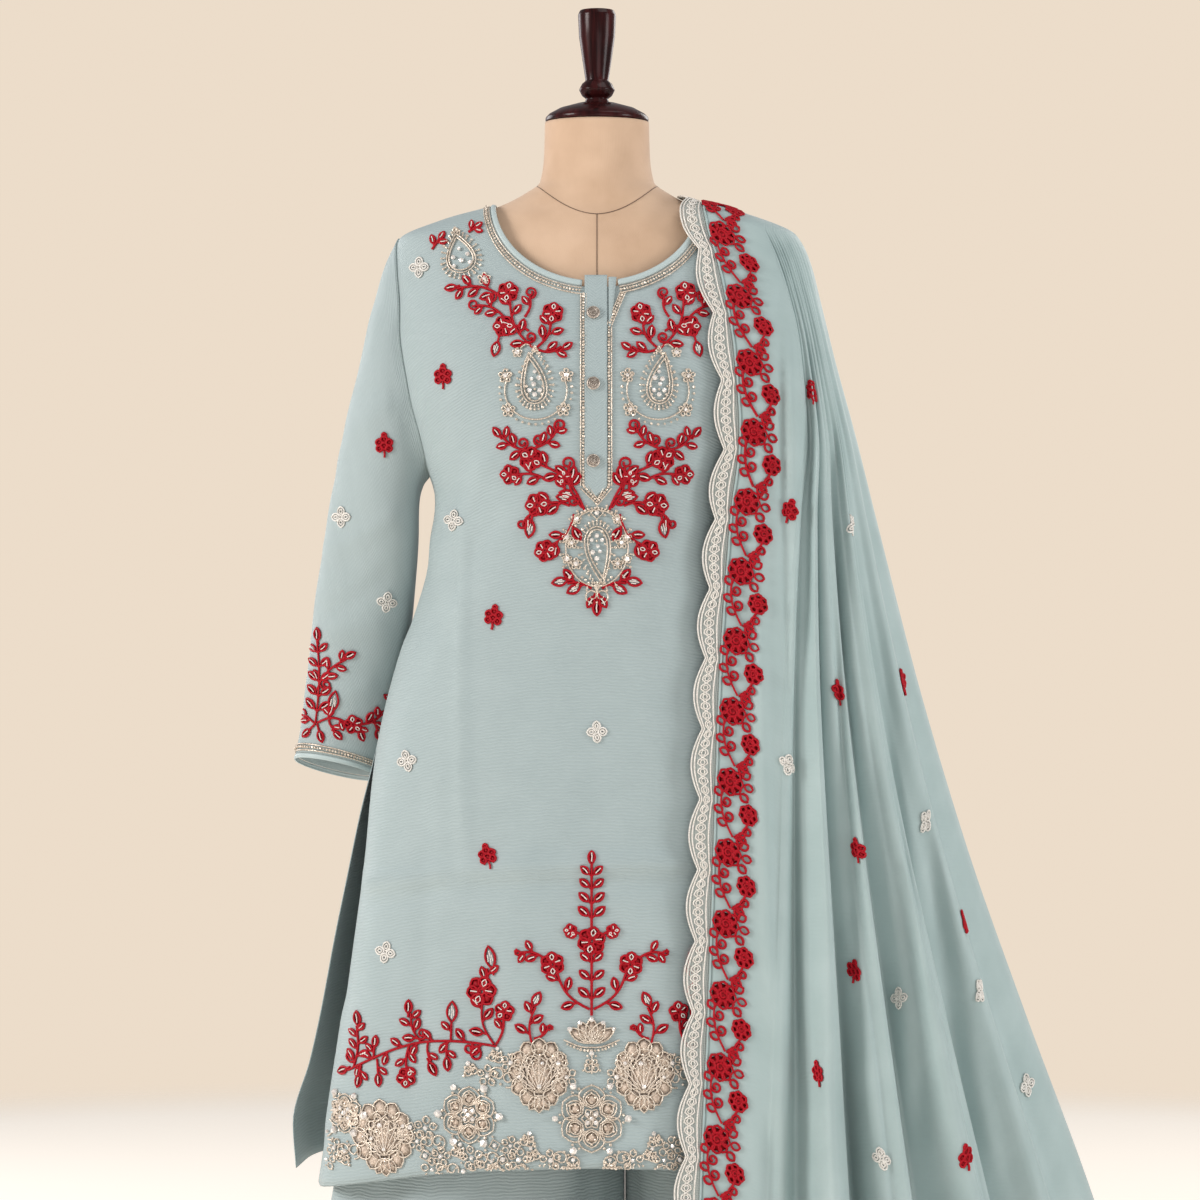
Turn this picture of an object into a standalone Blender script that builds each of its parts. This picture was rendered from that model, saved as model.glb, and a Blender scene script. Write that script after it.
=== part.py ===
"""A salwar kameez suit on a limbless dress form.

The kurta, the wide trousers and the dupatta are walls of cloth, lofted through
sections. Metres, +Z up, the front faces -Y and +X is the wearer's left. The
origin is the centre of the base's underside. Tables are in millimetres.
"""

import math
from bisect import bisect_right
from collections import namedtuple

import bmesh
import bpy
from mathutils import Vector

MM = 0.001
CLOTH = 1.2 * MM
LACE = 1.0 * MM
BAND_WALL = 3.0 * MM
SEAT = 0.35 * MM
SQUARENESS = 2.3

# Dress form: half width at the side, depth forwards and backwards.
FormRing = namedtuple("FormRing", "height half_width front back")
FORM_RINGS = (
    FormRing(840, 165, 99, 116),
    FormRing(870, 167, 102, 117),
    FormRing(950, 148, 98, 102),
    FormRing(1030, 118, 85, 80),
    FormRing(1120, 131, 98, 85),
    FormRing(1200, 148, 116, 90),
    FormRing(1280, 156, 103, 91),
    FormRing(1340, 172, 84, 85),
    FormRing(1374.6, 185, 76, 79),
    FormRing(1390.6, 175, 69, 75),
    FormRing(1405.6, 145, 62, 70),
    FormRing(1418.6, 101, 56, 65),
    FormRing(1431.6, 74, 54, 61),
    FormRing(1444.6, 57, 53, 58),
    FormRing(1470, 53, 51, 55),
    FormRing(1504, 52, 50, 54),
)
FormStep = namedtuple("FormStep", "height levels")
FORM_STEPS = (
    FormStep(840, 3), FormStep(1004.4, 2), FormStep(1034, 5), FormStep(1330, 3), FormStep(1372, 8),
    FormStep(1446, 2), FormStep(1504, 0),
)
FORM_SIDES = 24
HARD_GAP = 0.3

# Turned wood: radius and height of each corner, top to bottom.
Turn = namedtuple("Turn", "radius height")
FINIAL = (
    Turn(0, 1617), Turn(17, 1616.5), Turn(19, 1612), Turn(18, 1590), Turn(13, 1556),
    Turn(11.5, 1546), Turn(15, 1543), Turn(18, 1537), Turn(15, 1531), Turn(11, 1528),
    Turn(13, 1523.5), Turn(0, 1523.5),
)
CAP = (
    Turn(0, 1523.2), Turn(20, 1523.2), Turn(38, 1518), Turn(48, 1512.5), Turn(51.5, 1509),
    Turn(51.5, 1505), Turn(49, 1504.3), Turn(0, 1504.3),
)
POLE_RADIUS = 14
POLE_SIDES = 12
BASE = (
    Turn(0, 34), Turn(24, 34), Turn(30, 27), Turn(60, 24), Turn(178, 17), Turn(188, 13),
    Turn(190, 8), Turn(188, 0), Turn(0, 0),
)
TURNED_SIDES = 20
BASE_SIDES = 28

# Kurta panels: half width at the side edge, depth at the centre line, and how
# far the side edge stands from the middle plane.
Panel = namedtuple("Panel", "height half_width depth side")
KURTA_FRONT = (
    Panel(450, 281, 186, 26),
    Panel(627, 253, 168, 14),
    Panel(767, 233, 153, 4),
    Panel(877, 221, 142, 0.3),
    Panel(977, 196, 133, 0.3),
    Panel(1007, 184, 131, 0.3),
    Panel(1067, 167, 129, 0.3),
    Panel(1127, 161, 128, 0.3),
    Panel(1165, 172, 127, 0.4),
    Panel(1240, 197, 121, 0.5),
    Panel(1300, 206, 107, 0.6),
    Panel(1345, 206, 91, 0.6),
    Panel(1372, 202, 83, 0.6),
    Panel(1387, 197, 78, 0.6),
    Panel(1405, 157, 71, 0.6),
    Panel(1420, 101, 63, 0.6),
    Panel(1423, 90, 61, 0.6),
)
KURTA_BACK = (
    Panel(458, 306, 178, 8),
    Panel(502, 309, 174, 9),
    Panel(567, 291, 166, 9),
    Panel(707, 261, 155, 5),
    Panel(847, 229, 138, 0.3),
    Panel(977, 196, 118, 0.3),
    Panel(1007, 184, 107, 0.3),
    Panel(1067, 167, 101, 0.3),
    Panel(1127, 161, 101, 0.3),
    Panel(1165, 172, 102, 0.4),
    Panel(1240, 197, 101, 0.5),
    Panel(1300, 206, 97, 0.6),
    Panel(1345, 206, 91, 0.6),
    Panel(1372, 202, 85, 0.6),
    Panel(1387, 197, 81, 0.6),
    Panel(1405, 157, 75, 0.6),
    Panel(1420, 101, 69, 0.6),
    Panel(1423, 90, 68, 0.6),
)
ARMPIT = 1150
SHOULDER_TIP = 1387
# The armhole on a panel: how far round the ring its edge lies, in degrees.
Armhole = namedtuple("Armhole", "height turn")
ARMHOLE_FRONT = (
    Armhole(1150, 90), Armhole(1168, 79), Armhole(1200, 73), Armhole(1250, 70),
    Armhole(1310, 70), Armhole(1350, 73), Armhole(1375, 81), Armhole(1387, 90),
)
ARMHOLE_BACK = (
    Armhole(1150, 90), Armhole(1168, 80), Armhole(1200, 75), Armhole(1250, 73),
    Armhole(1310, 73), Armhole(1350, 76), Armhole(1375, 83), Armhole(1387, 90),
)
NECK_HALF = 105.5
SLIT_HALF = 3
# Each half panel's cut. Sign is -1 forwards and +1 backwards; slit is half the
# width of the neck opening below the neckline.
Cut = namedtuple("Cut", "name table armhole neck_drop hem_lift columns sign slit")
FRONT = Cut("kurta_front", KURTA_FRONT, ARMHOLE_FRONT, 87, 36, 10, -1, SLIT_HALF)
BACK = Cut("kurta_back", KURTA_BACK, ARMHOLE_BACK, 24, 20, 9, 1, 0)
BINDING_WIDTH = 5
BINDING_GAP = 0.45
BINDING_START_LEFT = 0.53
BINDING_START_RIGHT = 0.37
BINDING_WALL = 1.6 * MM
HEM_FOLDS = 7
HEM_FOLD_DEPTH = 6
HEM_FOLD_TOP = 1000
HEM_FOLD_TURN = 8
SKIRT_ROWS = 10
CHEST_ROWS = 6
NECK_ROWS = 8

# Placket band and buttons, down the centre front.
PLACKET_LEFT = -12
PLACKET_RIGHT = 10
PLACKET_TOP = 1344
PLACKET_BOTTOM = 1127
PLACKET_POINT = 9
PLACKET_EASE = 0.7
PLACKET_COLUMNS = 4
PLACKET_ROWS = 9
FLAP_LEFT = 11.5
FLAP_RIGHT = 19
FLAP_POINT = 2
FLAP_TOP = 1342
FLAP_BOTTOM = 1292
FLAP_ROWS = 3
BUTTON_HEIGHTS = (1306, 1236.5, 1161.5)
BUTTON_X = -3.5
BUTTON_LIFT = 0.45
BUTTON_REACH = 6
BUTTON = (
    Turn(0, 4.2), Turn(2.6, 3.8), Turn(4.6, 2.9), Turn(5.6, 3.1), Turn(6.5, 2.2),
    Turn(6.2, 0.4), Turn(5.4, 0), Turn(0, 0),
)
BUTTON_SIDES = 12

# Sleeve sections, from the armhole to the cuff: outer and inner end of each
# section, how far back its middle lies, and its half depth.
Sleeve = namedtuple("Sleeve", "along outer_x outer_z inner_x inner_z back depth")
SLEEVE = (
    Sleeve(0, 199, 1386, 164, 1152, 0, 44),
    Sleeve(8, 213, 1356, 171, 1143, 1, 47),
    Sleeve(22, 231, 1282, 177, 1124, 4, 50),
    Sleeve(40, 252, 1197, 181, 1082, 12, 50),
    Sleeve(60, 272, 1107, 185, 1020, 32, 47),
    Sleeve(80, 289, 987, 200, 940, 56, 43),
    Sleeve(92, 298, 920, 212, 885, 68, 40),
    Sleeve(100, 307, 869, 220, 850, 74, 38),
)
CUFF_DROP = 9
SLEEVE_GAP = 1.75
SLEEVE_BLEND = 45
SLEEVE_SPACING = 1.15
CUFF_EDGES = (0.6, 3, 5.2)
SLEEVE_SIDES = 18
SLEEVE_ROWS = 12
TUCK = 15
TUCK_LENGTH = 36

# Trousers: the hips, then each leg by its outer side, its inner side, and its
# depth forwards and backwards.
Hip = namedtuple("Hip", "height half_width front back")
HIPS = (
    Hip(715, 205, 116, 126),
    Hip(860, 177, 109, 123),
    Hip(950, 160, 108, 112),
    Hip(1004, 127, 92, 90.5),
)
Leg = namedtuple("Leg", "height outer front back")
LEGS = (
    Leg(40, 338, 150, 156),
    Leg(250, 300, 138, 144),
    Leg(450, 263, 126, 132),
    Leg(600, 238, 120, 126),
    Leg(720, 214, 114, 122),
    Leg(1004, 200, 100, 100),
)
LEG_SPLIT_RIGHT = 25
LEG_SPLIT_LEFT = 31
SEAT_GAP = 0.35
LEG_FOLDS = 7
LEG_FOLD_DEPTH = 11
FORK_TOP = 832
FORK = 712
LEG_SIDES = 32
LEG_ROWS = 12
WAISTBAND_BOTTOM = 1004.4
WAISTBAND_TOP = 1034
WAISTBAND_OFF = 2.1

# Dupatta, front and back of the wearer's left shoulder: the cloth's inner
# edge, its clearance off the kurta there, its outer line, and its fold depth.
Drape = namedtuple("Drape", "height edge clear outer fold")
DRAPE_FRONT = (
    Drape(30, 90, 30, 610, 42),
    Drape(230, 93, 27, 548, 38),
    Drape(437, 98, 20, 483, 32),
    Drape(627, 107, 15, 415, 25),
    Drape(777, 113, 13, 364, 19),
    Drape(937, 119, 12, 318, 13),
    Drape(1107, 131, 14, 276, 8),
    Drape(1187, 140, 10, 257, 5),
    Drape(1267, 135, 7, 236, 3),
    Drape(1327, 126, 6, 222, 1),
    Drape(1360, 119, 5, 214, 0),
    Drape(1390.4, 110, 4, 199, 0),
    Drape(1412, 106, 3.5, 146, 0),
    Drape(1423, 104, 3, 106, 0),
)
DRAPE_BACK = (
    Drape(30, 90, 34, 610, 42),
    Drape(230, 93, 31, 548, 38),
    Drape(437, 98, 27, 483, 32),
    Drape(627, 107, 29, 415, 25),
    Drape(777, 113, 30, 364, 19),
    Drape(937, 117, 32, 318, 13),
    Drape(1107, 120, 26, 276, 8),
    Drape(1187, 119, 17, 257, 5),
    Drape(1267, 118, 9, 236, 3),
    Drape(1327, 117, 6, 222, 1),
    Drape(1360, 116, 5, 214, 0),
    Drape(1390.4, 110, 4, 199, 0),
    Drape(1412, 106, 3.5, 146, 0),
    Drape(1423, 104, 3, 106, 0),
)
# The crest of each fold: how far it lies from the border to the outer line,
# its count, and how high it stands against the others.
Crest = namedtuple("Crest", "count across rise")
CRESTS_FRONT = (
    Crest(0, 0.04, 0.5), Crest(1, 0.2, 0.9), Crest(2, 0.38, 0.7), Crest(3, 0.6, 1.1),
    Crest(4, 0.82, 1.0), Crest(5, 1.0, 0.8),
)
CRESTS_BACK = (
    Crest(0, 0.06, 0.6), Crest(1, 0.3, 1.1), Crest(2, 0.55, 0.9), Crest(3, 0.79, 1.1), Crest(4, 1.0, 0.8),
)
# The height that the hem hangs at, across the cloth in hundredths.
Hem = namedtuple("Hem", "across height")
HEM_FRONT = (
    Hem(0, 160), Hem(20, 140), Hem(40, 85), Hem(55, 36), Hem(70, 110), Hem(80, 215), Hem(90, 330),
    Hem(100, 410),
)
HEM_BACK = (
    Hem(0, 320), Hem(20, 290), Hem(40, 180), Hem(56, 70), Hem(70, 130), Hem(80, 225), Hem(90, 332),
    Hem(100, 410),
)
# Each fall of the dupatta, with the kurta panel that it hangs over.
Fall = namedtuple("Fall", "name table panel crests hems sign rows")
FALLS = (
    Fall("front", DRAPE_FRONT, KURTA_FRONT, CRESTS_FRONT, HEM_FRONT, -1, 14),
    Fall("back", DRAPE_BACK, KURTA_BACK, CRESTS_BACK, HEM_BACK, 1, 12),
)
DUPATTA_TOP = 1423
DUPATTA_TIP = 1390.4
DUPATTA_SPREAD = 110
FOLD_LEAN = 0.35
DUPATTA_GAP = 0.55
BORDER = 62
BORDER_COLUMNS = 3
FOLD_COLUMNS = 6
BORDER_SHARE = 0.6
LACE_WIDTH = 21
SCALLOP = 68
SCALLOP_DEPTH = 5
SCALLOP_STEPS = 3
LACE_GAP = 0.8
LACE_RISE = 6
LACE_RISE_LENGTH = 30

# Colours in linear light.
AQUA = (0.45, 0.56, 0.55)
AQUA_LIGHT = (0.50, 0.62, 0.61)
NET = (0.55, 0.50, 0.44)
JERSEY = (0.80, 0.62, 0.46)
MAHOGANY = (0.05, 0.012, 0.012)
SILVER = (0.55, 0.45, 0.37)


def slope_at(keys, values, i):
    """Slope of the curve at point i, flat where the points turn back."""
    if i == 0:
        return (values[1] - values[0]) / (keys[1] - keys[0])
    if i == len(keys) - 1:
        return (values[i] - values[i - 1]) / (keys[i] - keys[i - 1])
    before = (values[i] - values[i - 1]) / (keys[i] - keys[i - 1])
    after = (values[i + 1] - values[i]) / (keys[i + 1] - keys[i])
    return 2 * before * after / (before + after) if before * after > 0 else 0.0


def smooth(keys, values, key):
    """Value at key, on a smooth curve through the points that never overshoots them."""
    if key <= keys[0]:
        return values[0]
    if key >= keys[-1]:
        return values[-1]
    i = bisect_right(keys, key) - 1
    gap = keys[i + 1] - keys[i]
    t = (key - keys[i]) / gap
    rise = values[i + 1] - values[i]
    start, end = slope_at(keys, values, i) * gap, slope_at(keys, values, i + 1) * gap
    return values[i] + t * start + t * t * (3 * rise - 2 * start - end) + t**3 * (start + end - 2 * rise)


def row_at(table, key):
    """A row between the rows of a table, read at its first column."""
    columns = list(zip(*table))
    return type(table[0])(key, *(smooth(columns[0], column, key) for column in columns[1:]))


def ease(t):
    """Goes from 0 to 1 with no sharp start or stop."""
    t = min(1.0, max(0.0, t))
    return t * t * (3 - 2 * t)


def arc(t):
    """The two sides of a quarter of a rounded square, at t from 0 to 1."""
    angle = math.radians(90) * min(1.0, max(0.0, t))
    power = 2 / SQUARENESS
    return math.sin(angle) ** power, max(0.0, math.cos(angle)) ** power


def arc_at(across):
    """The t at which arc's first side is across."""
    return math.asin(min(1.0, max(0.0, across)) ** (SQUARENESS / 2)) / math.radians(90)


# ---- Blender helpers ----


def clear_scene():
    for obj in list(bpy.data.objects):
        bpy.data.objects.remove(obj, do_unlink=True)


def finish(name, colour, roughness, metallic=0.0):
    made = bpy.data.materials.new(name)
    made.use_nodes = True
    shader = made.node_tree.nodes["Principled BSDF"]
    shader.inputs["Base Color"].default_value = (*colour, 1.0)
    shader.inputs["Roughness"].default_value = roughness
    shader.inputs["Metallic"].default_value = metallic
    return made


def new_object(name, mesh, material, home):
    obj = bpy.data.objects.new(name, mesh)
    mesh.materials.append(material)
    home.objects.link(obj)
    return obj


def grid(name, rows, material, home, closed=False, solid=False):
    """A surface through rows of points. A closed one joins each row's ends; a solid one is capped."""
    mesh = bpy.data.meshes.new(name)
    shape = bmesh.new()
    points = [[shape.verts.new(point) for point in row] for row in rows]
    width = len(rows[0])
    for low, high in zip(points, points[1:]):
        for i in range(width if closed else width - 1):
            j = (i + 1) % width
            shape.faces.new((low[i], low[j], high[j], high[i]))
    if solid:
        shape.faces.new(reversed(points[0]))
        shape.faces.new(points[-1])
    bmesh.ops.remove_doubles(shape, verts=shape.verts, dist=0.00005)
    shape.to_mesh(mesh)
    shape.free()
    mesh.shade_smooth()
    return new_object(name, mesh, material, home)


def wall(obj, thickness):
    """Gives an open surface its cloth's thickness, half to each side."""
    shell = obj.modifiers.new("Wall", "SOLIDIFY")
    shell.thickness = thickness
    shell.offset = 0
    return obj


def mirrored(obj):
    other = obj.modifiers.new("Other half", "MIRROR")
    other.use_clip = False
    other.merge_threshold = 0.0001
    return obj


def turned(name, profile, material, home, sides):
    """A solid of revolution from a table of radii and heights."""
    mesh = bpy.data.meshes.new(name)
    shape = bmesh.new()
    corners = [shape.verts.new((turn.radius * MM, 0, turn.height * MM)) for turn in profile]
    for a, b in zip(corners, corners[1:]):
        shape.edges.new((a, b))
    shape.to_mesh(mesh)
    shape.free()
    obj = new_object(name, mesh, material, home)
    screw = obj.modifiers.new("Turn", "SCREW")
    screw.steps = screw.render_steps = sides
    screw.use_merge_vertices = True
    screw.merge_threshold = 0.00005
    screw.use_smooth_shade = True
    return obj


def outward(surface, p, q, step=0.01):
    """Unit normal of surface(p, q), found from its neighbours; the surface says which side is out."""
    across = surface(p + step, q) - surface(p - step, q)
    along = surface(p, q + 100 * step) - surface(p, q - 100 * step)
    return across.cross(along).normalized()


# ---- Dress form ----


def form_point(height, turn, off=0.0):
    """A point of the form; turn 0 is the centre front and 90 is the wearer's left."""
    ring = row_at(FORM_RINGS, height)
    sine, cosine = math.sin(math.radians(turn)), math.cos(math.radians(turn))
    depth = ring.front if cosine > 0 else ring.back
    return Vector(((ring.half_width + off) * sine, -(depth + off) * cosine, height)) * MM


def build_form(home, jersey, wood):
    heights = []
    for low, high in zip(FORM_STEPS, FORM_STEPS[1:]):
        heights += [low.height + (high.height - low.height) * i / low.levels for i in range(low.levels)]
    heights.append(FORM_STEPS[-1].height)
    rows = [[form_point(height, 360 * i / FORM_SIDES) for i in range(FORM_SIDES)] for height in heights]
    grid("form_body", rows, jersey, home, closed=True, solid=True)
    turned("form_cap", CAP, wood, home, TURNED_SIDES)
    turned("form_finial", FINIAL, wood, home, TURNED_SIDES)
    top, bottom = FORM_STEPS[0].height - HARD_GAP, BASE[0].height + HARD_GAP
    pole = (Turn(0, top), Turn(POLE_RADIUS, top), Turn(POLE_RADIUS, bottom), Turn(0, bottom))
    turned("form_pole", pole, wood, home, POLE_SIDES)
    turned("form_base", BASE, wood, home, BASE_SIDES)


# ---- Kurta ----


def fold_depth(turn, height):
    """Soft folds of the skirt, deeper towards the hem and none on the centre line."""
    fall = max(0.0, (HEM_FOLD_TOP - height) / (HEM_FOLD_TOP - KURTA_FRONT[0].height))
    return HEM_FOLD_DEPTH * fall**1.4 * math.cos(math.radians(HEM_FOLDS * (turn - HEM_FOLD_TURN)))


def panel_point(table, turn, height, sign=-1):
    """A point on the kurta. Sign -1 is the front and +1 the back; turn runs from the centre to the side."""
    ring = row_at(table, height)
    across, deep = arc(turn / 90)
    fold = fold_depth(turn, height)
    x = (ring.half_width + fold * across) * across
    y = sign * (ring.side + (ring.depth - ring.side + fold) * deep)
    return Vector((x, y, height)) * MM


def ridge(x):
    """Height of the kurta's shoulder line at x."""
    high, low = KURTA_FRONT[-1].height, SHOULDER_TIP
    for _ in range(40):
        middle = (high + low) / 2
        if row_at(KURTA_FRONT, middle).half_width > x:
            low = middle
        else:
            high = middle
    return high


def neck_edge(t, half, drop):
    """Place on the neckline as x and height; t is 0 at the bottom and 1 at the shoulder."""
    angle = math.radians(90 * t)
    return half * math.sin(angle), ridge(half) - drop * math.cos(angle)


def neck_share(step):
    """How far along the neckline a row meets it; the rows lie closer towards the shoulder."""
    return 1 - (1 - step / NECK_ROWS) ** 2


def turn_at(table, x, height):
    return 90 * arc_at(x / row_at(table, height).half_width)


def between(start, end, t):
    return tuple(a + (b - a) * t for a, b in zip(start, end))


def armhole_place(table, t):
    """Turn and height on the armhole; t is 0 at the armpit and 1 at the shoulder tip."""
    height = ARMPIT + (SHOULDER_TIP - ARMPIT) * (0.35 * t + 0.65 * ease(t))
    return row_at(table, height).turn, height


def build_panel(cut, home, cloth):
    """One half of a kurta panel, from hem to shoulder seam, mirrored into the whole."""
    table, hem = cut.table, cut.table[0].height
    places = []
    for i in range(SKIRT_ROWS + 1):
        height = hem + (ARMPIT - hem) * i / SKIRT_ROWS
        places.append(((0, height), (90, height)))
    neck_bottom = neck_edge(0, NECK_HALF, cut.neck_drop)[1]
    for i in range(1, CHEST_ROWS + NECK_ROWS + 1):
        x, height = 0, ARMPIT + (neck_bottom - ARMPIT) * i / CHEST_ROWS
        if i >= CHEST_ROWS:
            x, height = neck_edge(neck_share(i - CHEST_ROWS), NECK_HALF, cut.neck_drop)
        start = turn_at(table, max(x, cut.slit), height)
        places.append(((start, height), armhole_place(cut.armhole, i / (CHEST_ROWS + NECK_ROWS))))
    rows = []
    for inner, outer in places:
        rows.append([])
        for column in range(cut.columns + 1):
            turn, height = between(inner, outer, column / cut.columns)
            share = max(0.0, (ARMPIT - height) / (ARMPIT - hem))
            height += cut.hem_lift * share * math.cos(math.radians(turn)) ** 2
            rows[-1].append(panel_point(table, turn, height, cut.sign))
    wall(mirrored(grid(cut.name, rows, cloth, home)), CLOTH)


def neck_strip_point(step, inset):
    """A point beyond the neckline's edge, at a row of the front panel or, past the shoulder, of the back."""
    front = step <= NECK_ROWS
    cut = FRONT if front else BACK
    t = neck_share(step if front else 2 * NECK_ROWS - step)
    x, height = neck_edge(t, NECK_HALF - inset, cut.neck_drop - inset)
    return panel_point(cut.table, turn_at(cut.table, x, height), height, cut.sign)


def build_binding(home, cloth):
    """The bias strip round the neck, from one side of the placket to the other."""
    insets = (BINDING_GAP, BINDING_WIDTH / 2, BINDING_WIDTH)
    rows = [[neck_strip_point(step, inset) for inset in insets] for step in range(2 * NECK_ROWS + 1)]
    other = [[Vector((-p.x, p.y, p.z)) for p in row] for row in rows[:-1]]
    rows[0] = [a + (b - a) * BINDING_START_LEFT for a, b in zip(rows[0], rows[1])]
    other[0] = [a + (b - a) * BINDING_START_RIGHT for a, b in zip(other[0], other[1])]
    wall(grid("neck_binding", [*rows, *reversed(other)], cloth, home), BINDING_WALL)


def front_row_heights():
    """Heights of the front panel's rows on its centre line, from the hem to the neck."""
    hem, neck = KURTA_FRONT[0].height + FRONT.hem_lift, neck_edge(0, NECK_HALF, FRONT.neck_drop)[1]
    skirt = [hem + (ARMPIT - hem) * i / SKIRT_ROWS for i in range(SKIRT_ROWS)]
    return skirt + [ARMPIT + (neck - ARMPIT) * i / CHEST_ROWS for i in range(CHEST_ROWS + 1)]


def front_at(x, height, off):
    """A point of the front panel's own facets at x, moved out by off."""
    heights = front_row_heights()
    i = min(bisect_right(heights, height), len(heights) - 1) - 1
    depths = [panel_point(KURTA_FRONT, turn_at(KURTA_FRONT, abs(x), h), h).y for h in heights[i:i + 2]]
    share = (height - heights[i]) / (heights[i + 1] - heights[i])
    return Vector((x * MM, depths[0] + (depths[1] - depths[0]) * share - off * MM, height * MM))


def build_placket(home, cloth, silver):
    off = (CLOTH + SEAT) / MM + PLACKET_EASE
    rows = []
    for i in range(PLACKET_ROWS + 1):
        rows.append([])
        for column in range(PLACKET_COLUMNS + 1):
            across = column / PLACKET_COLUMNS
            x = PLACKET_LEFT + (PLACKET_RIGHT - PLACKET_LEFT) * across
            foot = PLACKET_BOTTOM + PLACKET_POINT * abs(2 * across - 1)
            rows[-1].append(front_at(x, foot + (PLACKET_TOP - foot) * i / PLACKET_ROWS, off))
    wall(grid("placket_band", rows, cloth, home), CLOTH)
    flap = []
    for i in range(FLAP_ROWS + 1):
        height = FLAP_BOTTOM + (FLAP_TOP - FLAP_BOTTOM) * i / FLAP_ROWS
        wide = FLAP_POINT + (FLAP_RIGHT - FLAP_LEFT - FLAP_POINT) * i / FLAP_ROWS
        flap.append([front_at(FLAP_LEFT + wide * share, height, off) for share in (0, 0.5, 1)])
    wall(grid("placket_flap", flap, cloth, home), CLOTH)
    for count, height in enumerate(BUTTON_HEIGHTS, 1):
        button = turned(f"button_{count}", BUTTON, silver, home, BUTTON_SIDES)
        above = front_at(BUTTON_X, height + BUTTON_REACH, off)
        below = front_at(BUTTON_X, height - BUTTON_REACH, off)
        lean = math.atan2(below.y - above.y, above.z - below.z)
        button.location = front_at(BUTTON_X, height, off + CLOTH / 2 / MM + BUTTON_LIFT)
        button.rotation_euler = (math.radians(90) + lean, 0, 0)


# ---- Sleeves ----


def armhole_loop(around):
    """A point just off the armhole's edge; 0 is the shoulder tip, a quarter the front, a half the armpit."""
    front = around <= 0.5
    t = 1 - 2 * around if front else 2 * around - 1
    cut = FRONT if front else BACK
    turn, height = armhole_place(cut.armhole, t)
    def surface(p, q):
        return panel_point(cut.table, p, q, cut.sign)

    out = outward(surface, min(turn, 88), min(height, SHOULDER_TIP - 2))
    return surface(turn, height) - cut.sign * out * SLEEVE_GAP * MM


def sleeve_oval(along, around, tuck):
    """A point of the sleeve's plain oval section."""
    row = row_at(SLEEVE, along)
    outer = Vector((row.outer_x - tuck * ease(along / TUCK_LENGTH), row.back, row.outer_z))
    inner = Vector((row.inner_x, row.back, row.inner_z))
    sine, cosine = math.sin(math.tau * around), math.cos(math.tau * around)
    deep = Vector((0, -row.depth, CUFF_DROP * along / 100))
    return ((outer + inner) / 2 + (outer - inner) / 2 * cosine + deep * sine) * MM


def sleeve_point(along, around, tuck):
    start = armhole_loop(around) - sleeve_oval(0, around, 0)
    return sleeve_oval(along, around, tuck) + start * (1 - min(1.0, along / SLEEVE_BLEND)) ** 2


def build_sleeve(name, side, tuck, home, cloth):
    """A sleeve and the binding on its cuff; side is -1 for the wearer's right."""
    def section(along):
        ring = [sleeve_point(along, i / SLEEVE_SIDES, tuck) for i in range(SLEEVE_SIDES)]
        return [Vector((side * p.x, p.y, p.z)) for p in ring]

    rows = [section(100 * (i / SLEEVE_ROWS) ** SLEEVE_SPACING) for i in range(SLEEVE_ROWS + 1)]
    wall(grid(f"sleeve_{name}", rows, cloth, home, closed=True), CLOTH)
    fall = (Vector(rows[-1][0]) - Vector(rows[-2][0])).normalized()
    binding = [[point + fall * drop * MM for point in rows[-1]] for drop in CUFF_EDGES]
    wall(grid(f"cuff_binding_{name}", binding, cloth, home, closed=True), BINDING_WALL)


# ---- Trousers ----


def leg_point(height, around, side, split):
    """A point of a trouser leg; around runs from the inner front round the outer side to the inner back."""
    hip, leg = row_at(HIPS, height), row_at(LEGS, height)
    turn = math.pi * around
    depth = hip.front if around < 0.5 else hip.back
    seat = Vector((side * (SEAT_GAP + hip.half_width * math.sin(turn)), -depth * math.cos(turn), height))
    inner = split
    middle, half = (inner + side * leg.outer) / 2, abs(side * leg.outer - inner) / 2
    turn = math.tau * around
    depth = leg.front if around < 0.5 else leg.back
    fall = ease((FORK_TOP - height) / (FORK_TOP - LEGS[0].height))
    fold = LEG_FOLD_DEPTH * fall * math.cos(LEG_FOLDS * turn + 0.6 * side)
    fold *= ease(12 * min(around, 1 - around))
    x = middle - side * (half + 0.6 * fold) * math.cos(turn)
    tube = Vector((x, -(depth + fold) * math.sin(turn), height))
    return (seat + (tube - seat) * ease((FORK_TOP - height) / (FORK_TOP - FORK))) * MM


def build_trousers(home, cloth):
    hem, top = LEGS[0].height, HIPS[-1].height
    for name, side, split in (("right", -1, LEG_SPLIT_RIGHT), ("left", 1, LEG_SPLIT_LEFT)):
        rows = []
        for i in range(LEG_ROWS + 1):
            height = hem + (top - hem) * i / LEG_ROWS
            rows.append([leg_point(height, j / LEG_SIDES, side, split) for j in range(LEG_SIDES + 1)])
        wall(grid(f"trouser_{name}", rows, cloth, home), CLOTH)
    band = [
        [form_point(height, 360 * i / FORM_SIDES, WAISTBAND_OFF) for i in range(FORM_SIDES)]
        for height in (WAISTBAND_BOTTOM, (WAISTBAND_BOTTOM + WAISTBAND_TOP) / 2, WAISTBAND_TOP)
    ]
    wall(grid("waistband", band, cloth, home, closed=True), BAND_WALL)


# ---- Dupatta ----


def drape_columns(crests):
    """Each column of the dupatta as its share of the border, its fold count, and its place past the border."""
    columns = [(i / BORDER_COLUMNS, 0, 0) for i in range(BORDER_COLUMNS)]
    for i in range(FOLD_COLUMNS * crests[-1].count + 1):
        count = i / FOLD_COLUMNS
        place = row_at(crests, count).across * ease(2 * count) if count < 0.5 else row_at(crests, count).across
        columns.append((1, count, place))
    return columns


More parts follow.
